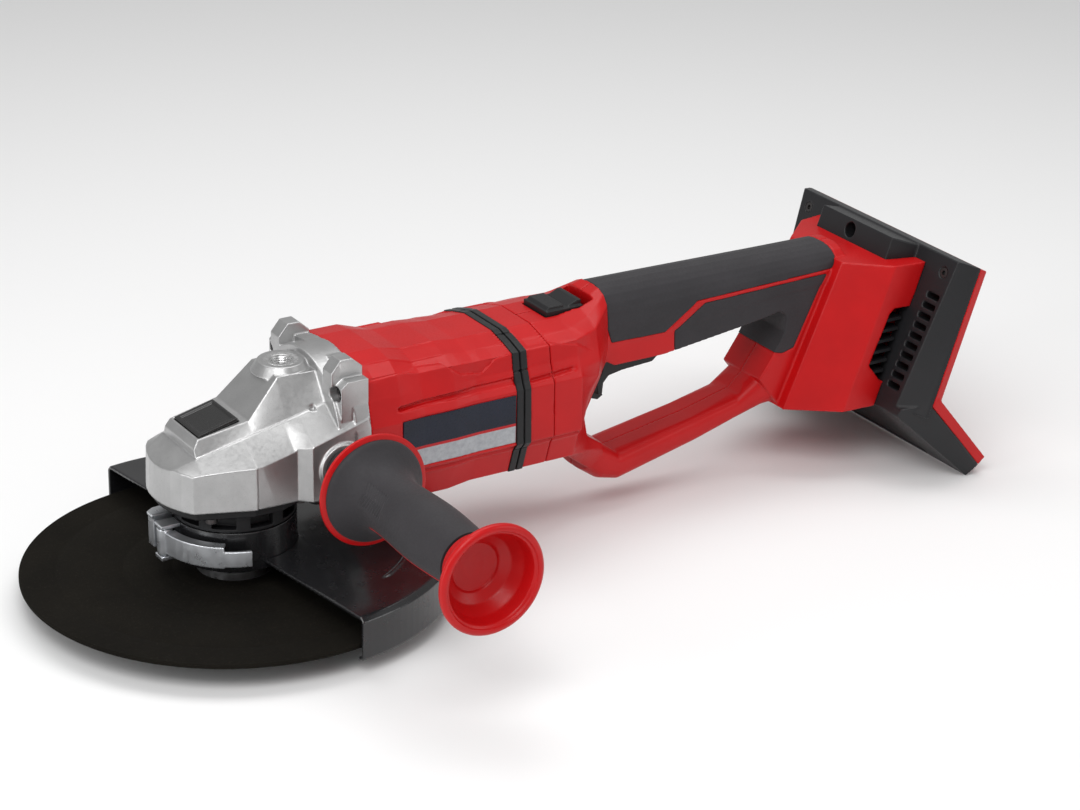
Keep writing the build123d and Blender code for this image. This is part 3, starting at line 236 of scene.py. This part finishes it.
def cast_aluminium():
    look = Look("cast_aluminium", (0.46, 0.46, 0.46), 0.34, 0.85, Specular_IOR_Level=0.5)
    grain = look.noise(1400, 2.0)
    cloud = look.noise(60, 4.0)
    base = look.vary(look.ramp(cloud, 0.3, 0.7), 0.90, 1.06)
    # Painted highlight: convex edges, found by Pointiness, are mixed towards a lighter grey.
    edge = look.node("ShaderNodeNewGeometry").outputs["Pointiness"]
    edge_highlight = look.mix(look.ramp(edge, 0.52, 0.60), base, (0.66, 0.66, 0.66))
    speck = look.mix(look.ramp(look.noise(2600, 1.0), 0.66, 0.74), edge_highlight, (0.30, 0.30, 0.30))
    look.link(speck, look.shader.inputs["Base Color"])
    look.roughen(look.noise(500, 3.0), 0.32, 0.44)
    look.bump(grain, 0.18, 0.10)
    return look.mat


def moulded_plastic(name, colour, rough, grain=0.10, gloss=0.28, light=1.08):
    """Spark-eroded moulded plastic: fine leathery grain, a little cloudy, slightly shiny."""
    look = Look(name, colour, rough, Specular_IOR_Level=gloss)
    look.vary(look.ramp(look.noise(35, 4.0), 0.3, 0.7), 0.93, light)
    look.roughen(look.noise(900, 2.0), rough - 0.05, rough + 0.07)
    look.bump(look.noise(2200, 2.0), grain, 0.08)
    return look.mat


def soft_rubber(name, colour, rough=0.62):
    """Over-moulded elastomer: matt, with a dusty sheen and fine stipple."""
    look = Look(name, colour, rough, Specular_IOR_Level=0.28, Sheen_Weight=0.06, Sheen_Roughness=0.5)
    look.vary(look.ramp(look.noise(45, 5.0), 0.3, 0.7), 0.88, 1.16)
    look.roughen(look.noise(700, 3.0), rough - 0.06, rough + 0.08)
    look.bump(look.noise(2600, 2.0), 0.22, 0.10)
    return look.mat


def abrasive():
    """Bonded abrasive: near-black resin with grit and the print of the glass mesh."""
    look = Look("abrasive", (0.0060, 0.0050, 0.0034), 0.9, Specular_IOR_Level=0.12)
    grit = look.noise(900, 4.0, 0.7)
    base = look.vary(look.ramp(look.noise(28, 3.0), 0.3, 0.7), 0.80, 1.25)
    specks = look.mix(look.ramp(look.noise(1700, 2.0), 0.64, 0.72), base, (0.028, 0.024, 0.018))
    look.link(specks, look.shader.inputs["Base Color"])
    weave = []
    for axis in ("X", "Y"):
        wave = look.node("ShaderNodeTexWave", bands_direction=axis, Scale=62.0, Distortion=0.4)
        look.link(look.coords, wave.inputs["Vector"])
        weave.append(wave.outputs["Fac"])
    both = look.node("ShaderNodeMath", operation="MULTIPLY")
    look.link(weave[0], both.inputs[0])
    look.link(weave[1], both.inputs[1])
    look.bump(both.outputs["Value"], 0.12, 0.25)
    look.bump(grit, 0.55, 0.22)
    return look.mat


def gloss_paint():
    look = Look("guard_paint", (0.010, 0.010, 0.011), 0.22, Specular_IOR_Level=0.5, Coat_Weight=0.25,
                Coat_Roughness=0.12)
    look.vary(look.ramp(look.noise(25, 3.0), 0.3, 0.7), 0.8, 1.5)
    look.roughen(look.noise(120, 4.0), 0.17, 0.30)
    look.bump(look.noise(420, 2.0), 0.05, 0.10)
    return look.mat


def plated_steel(name, colour, rough, stretch=(1, 1, 1), tint=(0.50, 0.55, 0.66)):
    """Zinc-plated or ground steel: drawn marks along one way and a faint cold tint."""
    look = Look(name, colour, rough, 0.95)
    cloud = look.ramp(look.noise(90, 4.0), 0.35, 0.68)
    base = look.mix(cloud, colour, tint)
    scratches = look.noise(500, 2.0, 0.6, stretch)
    marked = look.mix(look.ramp(scratches, 0.58, 0.72), base, [c * 0.55 for c in colour])
    look.link(marked, look.shader.inputs["Base Color"])
    look.roughen(scratches, rough - 0.08, rough + 0.14)
    look.bump(scratches, 0.10, 0.05)
    return look.mat


def turned_steel(name, colour, rough, about=(0, 0)):
    """Turned steel with fine rings about a vertical axis."""
    look = Look(name, colour, rough, 0.95)
    place = look.node("ShaderNodeMapping")
    place.inputs["Location"].default_value = (-about[0] * MM, -about[1] * MM, 0)
    look.link(look.coords, place.inputs["Vector"])
    rings = look.node("ShaderNodeTexWave", wave_type="RINGS", rings_direction="Z", Scale=700.0,
                      Distortion=0.6)
    look.link(place.outputs["Vector"], rings.inputs["Vector"])
    look.vary(look.ramp(look.noise(150, 3.0), 0.3, 0.7), 0.85, 1.1)
    look.roughen(look.noise(300, 3.0), rough - 0.06, rough + 0.10)
    look.bump(rings.outputs["Fac"], 0.10, 0.04)
    return look.mat


def copper_wire():
    look = Look("copper", (0.62, 0.24, 0.08), 0.35, 0.9)
    strands = look.node("ShaderNodeTexWave", bands_direction="Z", Scale=420.0, Distortion=1.0)
    look.link(look.coords, strands.inputs["Vector"])
    look.vary(look.ramp(look.noise(120, 3.0), 0.3, 0.7), 0.8, 1.2)
    look.bump(strands.outputs["Fac"], 0.5, 0.3)
    return look.mat


def laminated_steel():
    look = Look("laminations", (0.20, 0.20, 0.21), 0.45, 0.85)
    sheets = look.node("ShaderNodeTexWave", bands_direction="X", Scale=320.0, Distortion=0.0)
    look.link(look.coords, sheets.inputs["Vector"])
    look.vary(look.ramp(look.noise(90, 3.0), 0.3, 0.7), 0.8, 1.2)
    look.bump(sheets.outputs["Fac"], 0.4, 0.15)
    return look.mat


def zinc_plate():
    """Satin zinc plating: soft clouds of a cold tint over drawn steel."""
    look = Look("zinc", (0.70, 0.72, 0.75), 0.30, 0.9)
    look.vary(look.ramp(look.noise(60, 2.0), 0.3, 0.7), 0.90, 1.08)
    look.roughen(look.noise(160, 2.0), 0.26, 0.36)
    return look.mat


def printed_label():
    """Blank label: navy above, a thin red line, and a silver stripe below."""
    look = Look("label_print", (0.006, 0.009, 0.021), 0.26, Specular_IOR_Level=0.30)
    parts = look.node("ShaderNodeSeparateXYZ")
    look.link(look.coords, parts.inputs["Vector"])
    height = parts.outputs["Z"]
    navy = look.vary(look.ramp(look.noise(70, 3.0), 0.3, 0.7), 0.85, 1.2)
    silver = look.mix(look.ramp(look.noise(400, 2.0), 0.3, 0.7), (0.30, 0.31, 0.33), (0.40, 0.41, 0.43))
    lower = look.mix(look.ramp(height, 0.0762, 0.0763), silver, (0.42, 0.008, 0.012))
    print_colour = look.mix(look.ramp(height, 0.0778, 0.0779), lower, navy)
    look.link(print_colour, look.shader.inputs["Base Color"])
    look.roughen(look.noise(600, 2.0), 0.24, 0.36)
    look.bump(look.noise(1500, 2.0), 0.04, 0.05)
    return look.mat


RED = (0.46, 0.0036, 0.0048)


def make_materials():
    black = (0.011, 0.011, 0.012)
    red = moulded_plastic("red_plastic", RED, 0.36)
    steel = plated_steel("gear_steel", (0.42, 0.42, 0.43), 0.32)
    dark_steel = plated_steel("dark_screws", (0.07, 0.07, 0.07), 0.38, tint=(0.10, 0.09, 0.09))
    return {
        "cast_aluminium": cast_aluminium(),
        "black_cover": moulded_plastic("black_cover", black, 0.40),
        "dark_screws": dark_steel,
        "bearing_steel": turned_steel("bearing_steel", (0.55, 0.55, 0.56), 0.25),
        "bronze": turned_steel("bronze", (0.50, 0.33, 0.15), 0.35),
        "spring_steel": plated_steel("spring_steel", (0.45, 0.45, 0.47), 0.3),
        "button_black": moulded_plastic("button_black", (0.010, 0.010, 0.010), 0.24, 0.05, 0.6),
        "gear_steel": steel,
        "flange_steel": turned_steel("flange_steel", (0.40, 0.40, 0.41), 0.33),
        "abrasive": abrasive(),
        "ring_steel": turned_steel("ring_steel", (0.50, 0.50, 0.50), 0.35),
        "laminations": laminated_steel(),
        "fan_plastic": moulded_plastic("fan_plastic", (0.05, 0.05, 0.05), 0.5),
        "copper": copper_wire(),
        "red_plastic": red,
        "handle_red": moulded_plastic("handle_red", RED, 0.34),
        "shell_red": red,
        "rear_red": red,
        "machined": turned_steel("machined_aluminium", (0.72, 0.72, 0.72), 0.24),
        "label": printed_label(),
        "black_rubber": soft_rubber("black_rubber", (0.009, 0.009, 0.010), 0.42),
        "link_plastic": moulded_plastic("link_plastic", black, 0.5),
        "guard_paint": gloss_paint(),
        "zinc": zinc_plate(),
        "soft_grip": soft_rubber("soft_grip", (0.027, 0.025, 0.028)),
        "switch_grey": moulded_plastic("switch_grey", (0.10, 0.10, 0.11), 0.5),
        "control_black": moulded_plastic("control_black", (0.014, 0.014, 0.015), 0.36, 0.08),
        "plate_black": moulded_plastic("plate_black", (0.012, 0.012, 0.0135), 0.40, 0.14, 0.35),
        "rail_black": moulded_plastic("rail_black", (0.025, 0.025, 0.026), 0.45),
        "board_potting": moulded_plastic("board_potting", (0.02, 0.05, 0.03), 0.3),
        "sink_aluminium": plated_steel("sink_aluminium", (0.6, 0.6, 0.61), 0.4, (1, 6, 1)),
    }


MATERIALS = make_materials()


# ---------------------------------------------------------------- mesh helpers
def link_mesh(name, mesh):
    obj = bpy.data.objects.new(name, mesh)
    bpy.context.scene.collection.objects.link(obj)
    return obj


def settle(obj):
    """Applies every modifier on obj to its mesh."""
    bpy.context.view_layer.update()
    evaluated = obj.evaluated_get(bpy.context.evaluated_depsgraph_get())
    mesh = bpy.data.meshes.new_from_object(evaluated)
    mesh.name = obj.name
    obj.modifiers.clear()
    obj.data = mesh
    return obj


def weld(mesh, distance=0.0005):
    """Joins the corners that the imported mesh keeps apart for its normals."""
    bm = bmesh.new()
    bm.from_mesh(mesh)
    bmesh.ops.remove_doubles(bm, verts=bm.verts, dist=distance * MM)
    bm.to_mesh(mesh)
    bm.free()


def closed_object(name, verts, faces, merge=0.0):
    """An object from corners and faces, with its faces turned outwards and merge (mm) closing its poles."""
    mesh = bpy.data.meshes.new(name)
    mesh.from_pydata(verts, [], faces)
    bm = bmesh.new()
    bm.from_mesh(mesh)
    if merge:
        bmesh.ops.remove_doubles(bm, verts=bm.verts, dist=merge * MM)
        bmesh.ops.dissolve_degenerate(bm, edges=bm.edges, dist=merge / 2 * MM)
    bmesh.ops.recalc_face_normals(bm, faces=bm.faces)
    bm.to_mesh(mesh)
    bm.free()
    return link_mesh(name, mesh)


def cad_copy(node, name):
    mesh = NODES[node].data.copy()
    mesh.name = name
    weld(mesh)
    return link_mesh(name, mesh)


def finish(obj, slot, body, replaced=(), smooth_angle=None, material=None):
    """Gives a piece the material of its slot and its body, and hides the CAD nodes it stands for."""
    obj.data.materials.clear()
    obj.data.materials.append(material or MATERIALS[slot])
    for polygon in obj.data.polygons:
        polygon.use_smooth = True
        polygon.material_index = 0
    if smooth_angle is not None:
        obj.data.set_sharp_from_angle(angle=math.radians(smooth_angle))
    if replaced:
        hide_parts(*replaced)
    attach(obj, body)
    return obj


def remeshed(node, voxel, passes=0):
    """A copy of a CAD node in even voxels of that size in millimetres, smoothed that many times."""
    obj = cad_copy(node, node + "_moulded")
    remesh = obj.modifiers.new("remesh", "REMESH")
    remesh.mode = "VOXEL"
    remesh.voxel_size = voxel * COARSE * MM
    if passes:
        smooth = obj.modifiers.new("smooth", "SMOOTH")
        smooth.factor = 0.5
        smooth.iterations = passes
    return settle(obj)


def moulded(node, voxel=0.6, passes=4, shape=None, keep=1.0):
    """A cast or moulded copy of a CAD node: edges rounded by remeshing, then shape presses its relief."""
    obj = remeshed(node, voxel, passes)
    if shape:
        shape(obj)
    triangles = 2 * len(obj.data.polygons)
    if triangles > MAX_TRIANGLES * keep:
        thin = obj.modifiers.new("thin", "DECIMATE")
        thin.ratio = MAX_TRIANGLES * keep / triangles
        settle(obj)
    finish(obj, SLOT_OF[node], BODY_OF[node], [node])
    flats = obj.modifiers.new("flats", "WEIGHTED_NORMAL")
    flats.weight = 80
    return settle(obj)


# ---------------------------------------------------------------- relief pressed into moulded pieces
def points_of(obj):
    """Corner places in millimetres and corner normals, as two arrays."""
    count = len(obj.data.vertices)
    places, normals = np.empty(count * 3), np.empty(count * 3)
    obj.data.vertices.foreach_get("co", places)
    obj.data.vertices.foreach_get("normal", normals)
    return places.reshape(-1, 3) / MM, normals.reshape(-1, 3)


def press(obj, places, normals, depth):
    """Moves each corner inwards by its depth in millimetres."""
    obj.data.vertices.foreach_set("co", ((places - normals * depth[:, None]) * MM).ravel())
    obj.data.update()


def off_line(places, line):
    """Height of each corner above a line of (x, z) points, in millimetres."""
    xs, zs = zip(*line)
    return places[:, 2] - np.interp(places[:, 0], xs, zs)


def along_line(places, line, run_out):
    """1 along a line, falling to 0 over run_out at its two ends."""
    start, end = line[0][0], line[-1][0]
    near_start = np.clip((places[:, 0] - start) / run_out, 0, 1)
    return near_start * np.clip((end - places[:, 0]) / run_out, 0, 1)


def on_sides(normals, least):
    """1 where the surface faces sideways, 0 where it faces up, down, forward or back."""
    return np.clip((np.abs(normals[:, 1]) - least) / 0.2, 0, 1)


def crease(places, normals, line, depth, fade):
    """Depth of a style line on both sides: a sharp step at the line that fades away over fade above it."""
    offset = off_line(places, line)
    step = np.clip(offset / STEP_WIDTH, 0, 1) * np.clip(1 - offset / fade, 0, 1)
    return depth * step * along_line(places, line, 4) * on_sides(normals, 0.15)


def groove(places, normals, line, depth, half):
    """Depth of a V groove along a line on both sides."""
    offset = np.abs(off_line(places, line))
    return depth * np.clip(1 - offset / half, 0, 1) * along_line(places, line, 3) * on_sides(normals, 0.3)


STEP_WIDTH = 0.7
UPPER_LINE = [(60, 118), (80, 118.9), (106.8, 118.1), (117.7, 110.9), (130.6, 108.6), (139.2, 114.6),
              (153, 116.5)]
RIDGE_LINE = [(88, 123.0), (151, 122.0)]
REAR_LINE = [(158, 116.5), (176, 116.5), (192, 113.0), (204, 106.0)]
LABEL_GROOVE = [(75, 101.0), (92, 101.6), (126, 102.1), (153, 102.3)]
LOWER_GROOVE = [(66, 61.5), (120, 62.2), (192, 63.0)]
REAR_GROOVE = [(158, 99.5), (174, 100.2), (190, 101.2)]


def style_housing(obj):
    """Style lines and grooves of the motor housing's sides."""
    places, normals = points_of(obj)
    depth = crease(places, normals, UPPER_LINE, 1.1, 9)
    depth += crease(places, normals, RIDGE_LINE, 0.7, 6)
    depth += groove(places, normals, LOWER_GROOVE, 2.0, 1.5)
    depth += groove(places, normals, LABEL_GROOVE, 2.2, 1.5)
    press(obj, places, normals, depth)


def style_rear(obj):
    """The same lines carried on over the collar and the rear handle."""
    places, normals = points_of(obj)
    depth = groove(places, normals, LOWER_GROOVE, 1.8, 1.5)
    depth += groove(places, normals, REAR_GROOVE, 1.8, 1.7)
    depth += crease(places, normals, REAR_LINE, 0.9, 8)
    press(obj, places, normals, depth)


RING_JOINTS = (-150, -118, -62, -30, 30, 62, 118, 150)


def style_rings(obj):
    """Small joints between the moulded segments of the damping rings."""
    places, normals = points_of(obj)
    angle = np.degrees(np.arctan2(places[:, 2] - AXIS_Z, places[:, 1]))
    depth = np.zeros(len(places))
    for joint in RING_JOINTS:
        depth += 0.8 * np.clip(1 - np.abs(angle - joint) / 1.1, 0, 1)
    press(obj, places, normals, depth)


# ---------------------------------------------------------------- turned pieces
POLE_MERGE = 0.0004
def turned_mesh(name, outline, place, steps, relief=None):
    """A closed body of revolution from (radius, distance along the axis) points, in millimetres."""
    steps = steps
    outline = np.array(outline, dtype=float)
    angles = np.linspace(0, 2 * math.pi, steps, endpoint=False)
    radius = np.repeat(outline[None, :, 0], steps, axis=0)
    if relief:
        radius = radius + relief(angles[:, None], outline[None, :, 1]) * (outline[None, :, 0] > 0.01)
    local = np.stack([radius * np.cos(angles)[:, None], radius * np.sin(angles)[:, None],
                      np.repeat(outline[None, :, 1], steps, axis=0)], axis=-1).reshape(-1, 3)
    verts = [place @ Vector(point * MM) for point in local]
    rows = len(outline)
    faces = []
    for i in range(steps):
        j = (i + 1) % steps
        for k in range(rows):
            m = (k + 1) % rows
            faces.append((i * rows + k, j * rows + k, j * rows + m, i * rows + m))
    return closed_object(name, verts, faces, POLE_MERGE)


def rounded(points, reach=0.8, cuts=4, spacing=2.5):
    """The outline with each corner rounded and its long sides divided."""
    out = []
    points = [Vector(p) for p in points]
    for i, here in enumerate(points):
        before, after = points[i - 1], points[(i + 1) % len(points)]
        if here.x < 0.01:
            out.append(tuple(here))
            continue
        start = here + (before - here).normalized() * min(reach, (before - here).length * 0.45)
        end = here + (after - here).normalized() * min(reach, (after - here).length * 0.45)
        for k in range(cuts + 1):
            t = k / cuts
            out.append(tuple(start * (1 - t) ** 2 + here * 2 * t * (1 - t) + end * t * t))
        side = (after - end).length
        for k in range(1, int(side / spacing)):
            out.append(tuple(end.lerp(after, k / int(side / spacing) * 0.98)))
    return out


def curve(points, rounds=4):
    """A smooth curve through the middle of a chain of points, with its ends kept."""
    for _ in range(rounds):
        cut = [points[0]]
        for (a, b), (c, d) in zip(points, points[1:]):
            cut += [(a * 0.75 + c * 0.25, b * 0.75 + d * 0.25), (a * 0.25 + c * 0.75, b * 0.25 + d * 0.75)]
        points = cut + [points[-1]]
    dense = [points[0]]
    for here in points[1:]:
        gap = math.dist(dense[-1], here)
        if gap > 0.35:
            parts = max(1, round(gap / 0.45))
            last = dense[-1]
            dense += [(last[0] + (here[0] - last[0]) * k / parts, last[1] + (here[1] - last[1]) * k / parts)
                      for k in range(1, parts + 1)]
    return dense


def ribbon(name, line, place, angle, half_width, height):
    """A thin raised strip along a turned surface at one angle."""
    verts, faces = [], []
    for radius, along in line:
        for reach, side in ((-1.0, -1), (height, -0.8), (height, 0.8), (-1.0, 1)):
            turn = math.radians(angle) + side * half_width / radius
            spot = Vector((math.cos(turn) * (radius + reach), math.sin(turn) * (radius + reach), along)) * MM
            verts.append(place @ spot)
    for i in range(len(line) - 1):
        for k in range(4):
            m = (k + 1) % 4
            faces.append((4 * i + k, 4 * i + 4 + k, 4 * i + 4 + m, 4 * i + m))
    last = 4 * len(line) - 4
    faces += [(0, 1, 2, 3), (last + 3, last + 2, last + 1, last)]
    return closed_object(name, verts, faces)


# ---------------------------------------------------------------- side handle
KNURL_ANGLE, KNURL_HALF, KNURL_PITCH, KNURL_DEPTH = 152, 24, 2.2, 0.7
KNURL_START, KNURL_END = 17, 38
STRIP_ANGLE, STRIP_HALF, STRIP_DEPTH = 236, 17, 0.8
SEAM_ANGLE, SEAM_START, SEAM_END = 219.0, 22, 97
GRIP_BORE, GRIP_FOOT, GRIP_END = 12.6, 3.42, 97.6
GRIP_FACE = [(28.2, GRIP_FOOT), (27.9, 5.2), (24.2, 8.0), (19.2, 13.5), (16.8, 20.0), (16.1, 27.0),
             (16.6, 40.0), (17.4, 55.0), (17.5, 68.0), (16.9, 80.0), (16.1, 92.0), (15.7, GRIP_END)]


def side_handle_place():
    """Frame of the side handle: origin in the flange's inner face, its Z axis outwards."""
    low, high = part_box("side_handle_flange")
    centre = Vector(((low[0] + high[0]) / 2, high[1], (low[2] + high[2]) / 2))
    turn = Matrix(((1, 0, 0), (0, 0, -1), (0, 1, 0))).to_4x4()
    return Matrix.Translation(centre) @ turn


def degrees_off(angles, centre):
    """How many degrees each angle is away from a centre, either way round."""
    return np.abs((np.degrees(angles) - centre + 180) % 360 - 180)


def grip_relief(angles, along):
    """Fine knurling on one patch near the flange and a flat strip along the lower side."""
    across = degrees_off(angles, KNURL_ANGLE)
    ridges = 0.5 + 0.5 * np.cos((along + across * 0.12) * 2 * math.pi / KNURL_PITCH)
    inside = np.clip((along - KNURL_START) / 2, 0, 1) * np.clip((KNURL_END - along) / 2, 0, 1)
    sector = np.clip((KNURL_HALF - across) / 3, 0, 1)
    strip = np.clip(1 - degrees_off(angles, STRIP_ANGLE) / STRIP_HALF, 0, 1)
    length = np.clip((along - 24) / 6, 0, 1) * np.clip((97 - along) / 4, 0, 1)
    return -KNURL_DEPTH * ridges * inside * sector - STRIP_DEPTH * strip * length


def build_handle_ring(place):
    """Red guard ring at the inner end of the handle."""
    ring = rounded([(12, 0.1), (29.2, 0.1), (31.0, 1.4), (31.0, 2.9), (28.6, 3.38), (12, 3.38)], 0.6)
    finish(turned_mesh("side_handle_ring", ring, place, 240), "handle_red", "motor_unit",
           ["side_handle_flange"], smooth_angle=40)


def build_handle_grip(place):
    """Soft grip with its knurled patch, and the thin red seam beside its flat strip."""
    face = curve(GRIP_FACE)
    grip = [(GRIP_BORE, GRIP_FOOT)] + face + [(GRIP_BORE, GRIP_END)]
    finish(turned_mesh("side_handle_soft_grip", grip, place, 300, grip_relief), "soft_grip", "motor_unit",
           ["side_handle_grip"], smooth_angle=50)
    seam = [(radius, along) for radius, along in face if SEAM_START < along < SEAM_END]
    finish(ribbon("side_handle_seam", seam, place, SEAM_ANGLE, 1.1, 0.12), "handle_red", "motor_unit",
           smooth_angle=50)


def build_handle_cup(place):
    """Flared end cup with a stepped rim and a stepped bowl, closed at its centre."""
    cup = rounded([
        (0, 98.4), (14.0, 98.4), (15.9, 99.2), (17.4, 103.5), (20.6, 109.0), (26.8, 116.3), (29.4, 118.8),
        (29.5, 121.0), (28.0, 122.4), (26.0, 122.4), (25.6, 121.2), (24.2, 120.6), (22.6, 114.0),
        (18.5, 107.6), (13.5, 104.8), (12.8, 103.4), (6.0, 102.6), (0, 102.6),
    ], 0.9, 4, 2.5)
    finish(turned_mesh("side_handle_end_cup", cup, place, 240), "handle_red", "motor_unit",
           ["side_handle_core", "side_handle_cup"], smooth_angle=45)


def build_handle_damper(place):
    """Waisted rubber damper between the gear case and the ring."""
    neck = rounded([
        (6.0, -28.3), (11.2, -28.3), (11.2, -22.0), (10.2, -21.0), (10.2, -14.0), (11.3, -12.8),
        (11.5, -9.0), (14.4, -2.6), (14.4, -0.1), (6.0, -0.1),
    ], 0.7)
    finish(turned_mesh("side_handle_damper", neck, place, 160), "black_rubber", "motor_unit",
           ["side_handle_neck"], smooth_angle=45)


def build_side_handle():
    place = side_handle_place()
    for build in (build_handle_ring, build_handle_grip, build_handle_cup, build_handle_damper):
        build(place)


# ---------------------------------------------------------------- gear head and disc
THREAD_PITCH, THREAD_TURNS = 1.35, 9


def build_thread():
    """Bright machined seat and thread turns in the handle hole on the deck."""
    hole = next(m for m in RECORD["mounts"] if m["name"] == "top_handle_hole")
    place = Matrix.Translation(Vector(hole["pos_m"]))
    outline = [(6.5, -13.0), (6.0, -13.0)]
    for k in range(THREAD_TURNS):
        outline += [(5.45, -12.4 + THREAD_PITCH * k), (6.05, -11.75 + THREAD_PITCH * k)]
    outline += [(6.3, -0.2), (7.2, 0.08), (9.3, 0.08), (9.5, -0.3), (6.5, -0.4)]
    finish(turned_mesh("handle_hole_seat", outline, place, 120), "gear_steel", "motor_unit", smooth_angle=25,
           material=MATERIALS["machined"])


def build_spring():
    """Lock spring: a copy of the CAD coil with a mesh of its own."""
    coil = finish(cad_copy("lock_spring", "lock_spring_coil"), "spring_steel", "motor_unit", ["lock_spring"],
                  smooth_angle=40)
    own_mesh(coil)


def build_button():
    """Thumb button of the spindle lock, with a sunk face inside a raised rim."""
    button = remeshed("lock_button", 0.3)
    places, normals = points_of(button)
    low, high = places.min(axis=0), places.max(axis=0)
    middle, half = (low + high) / 2, (high - low) / 2
    edge = np.minimum(1 - np.abs(places[:, 0] - middle[0]) / half[0], 1 - np.abs(places[:, 1]) / half[1])
    facing = np.clip((normals[:, 2] - 0.6) / 0.2, 0, 1)
    press(button, places, normals, 0.7 * np.clip((edge - 0.16) / 0.08, 0, 1) * facing)
    finish(button, "button_black", "spindle_lock", ["lock_button"])


def build_disc():
    """Cutting disc with a smooth rim and faint pressed rings round its bore."""
    low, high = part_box("cutting_disc")
    bottom, top, radius = low[2] / MM, high[2] / MM, high[0] / MM - 0.06
    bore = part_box("disc_ring")[1][0] / MM
    outline = [(bore - 3.0, bottom), (radius - 0.5, bottom), (radius, bottom + 0.5), (radius, top - 0.5),
               (radius - 0.5, top)]
    for ring in (96.0, 60.0, 34.0):
        outline += [(ring + 0.8, top), (ring, top - 0.25), (ring - 0.8, top)]
    outline += [(bore - 3.0, top)]
    disc = turned_mesh("cutting_disc_face", outline, Matrix.Identity(4), 540)
    finish(disc, "abrasive", "spindle", ["cutting_disc"], smooth_angle=40)


def keep_cad():
    """Every CAD node that still shows gets its slot's material."""
    for name, obj in NODES.items():
        material = MATERIALS[SLOT_OF[name]]
        if obj.material_slots:
            for place in obj.material_slots:
                place.material = material
        else:
            obj.data.materials.append(material)


add_camera()
add_lights()
add_floor()
keep_cad()
moulded("gear_case", 0.45, 2)
moulded("motor_housing", 0.5, 3, style_housing)
moulded("rear_collar", 0.6, 3, style_rear, 0.5)
moulded("damping_rings", 0.26, 2, style_rings)
for node in ("handle_shell_left", "handle_shell_right"):
    moulded(node, 0.6, 4, style_rear)
for node in ("soft_cover", "grip_panels", "guard_shell", "battery_plate", "rear_plate"):
    moulded(node, 0.55, 3, keep=0.7)
for node in ("clamp_lever", "guard_hinge", "guard_catch", "guard_band", "release_slider", "trigger_paddle",
             "lock_off_tab", "bearing_cover", "label_plate_left", "label_plate_right"):
    moulded(node, 0.33, 3, keep=0.4)
build_side_handle()
build_thread()
build_spring()
build_button()
build_disc()
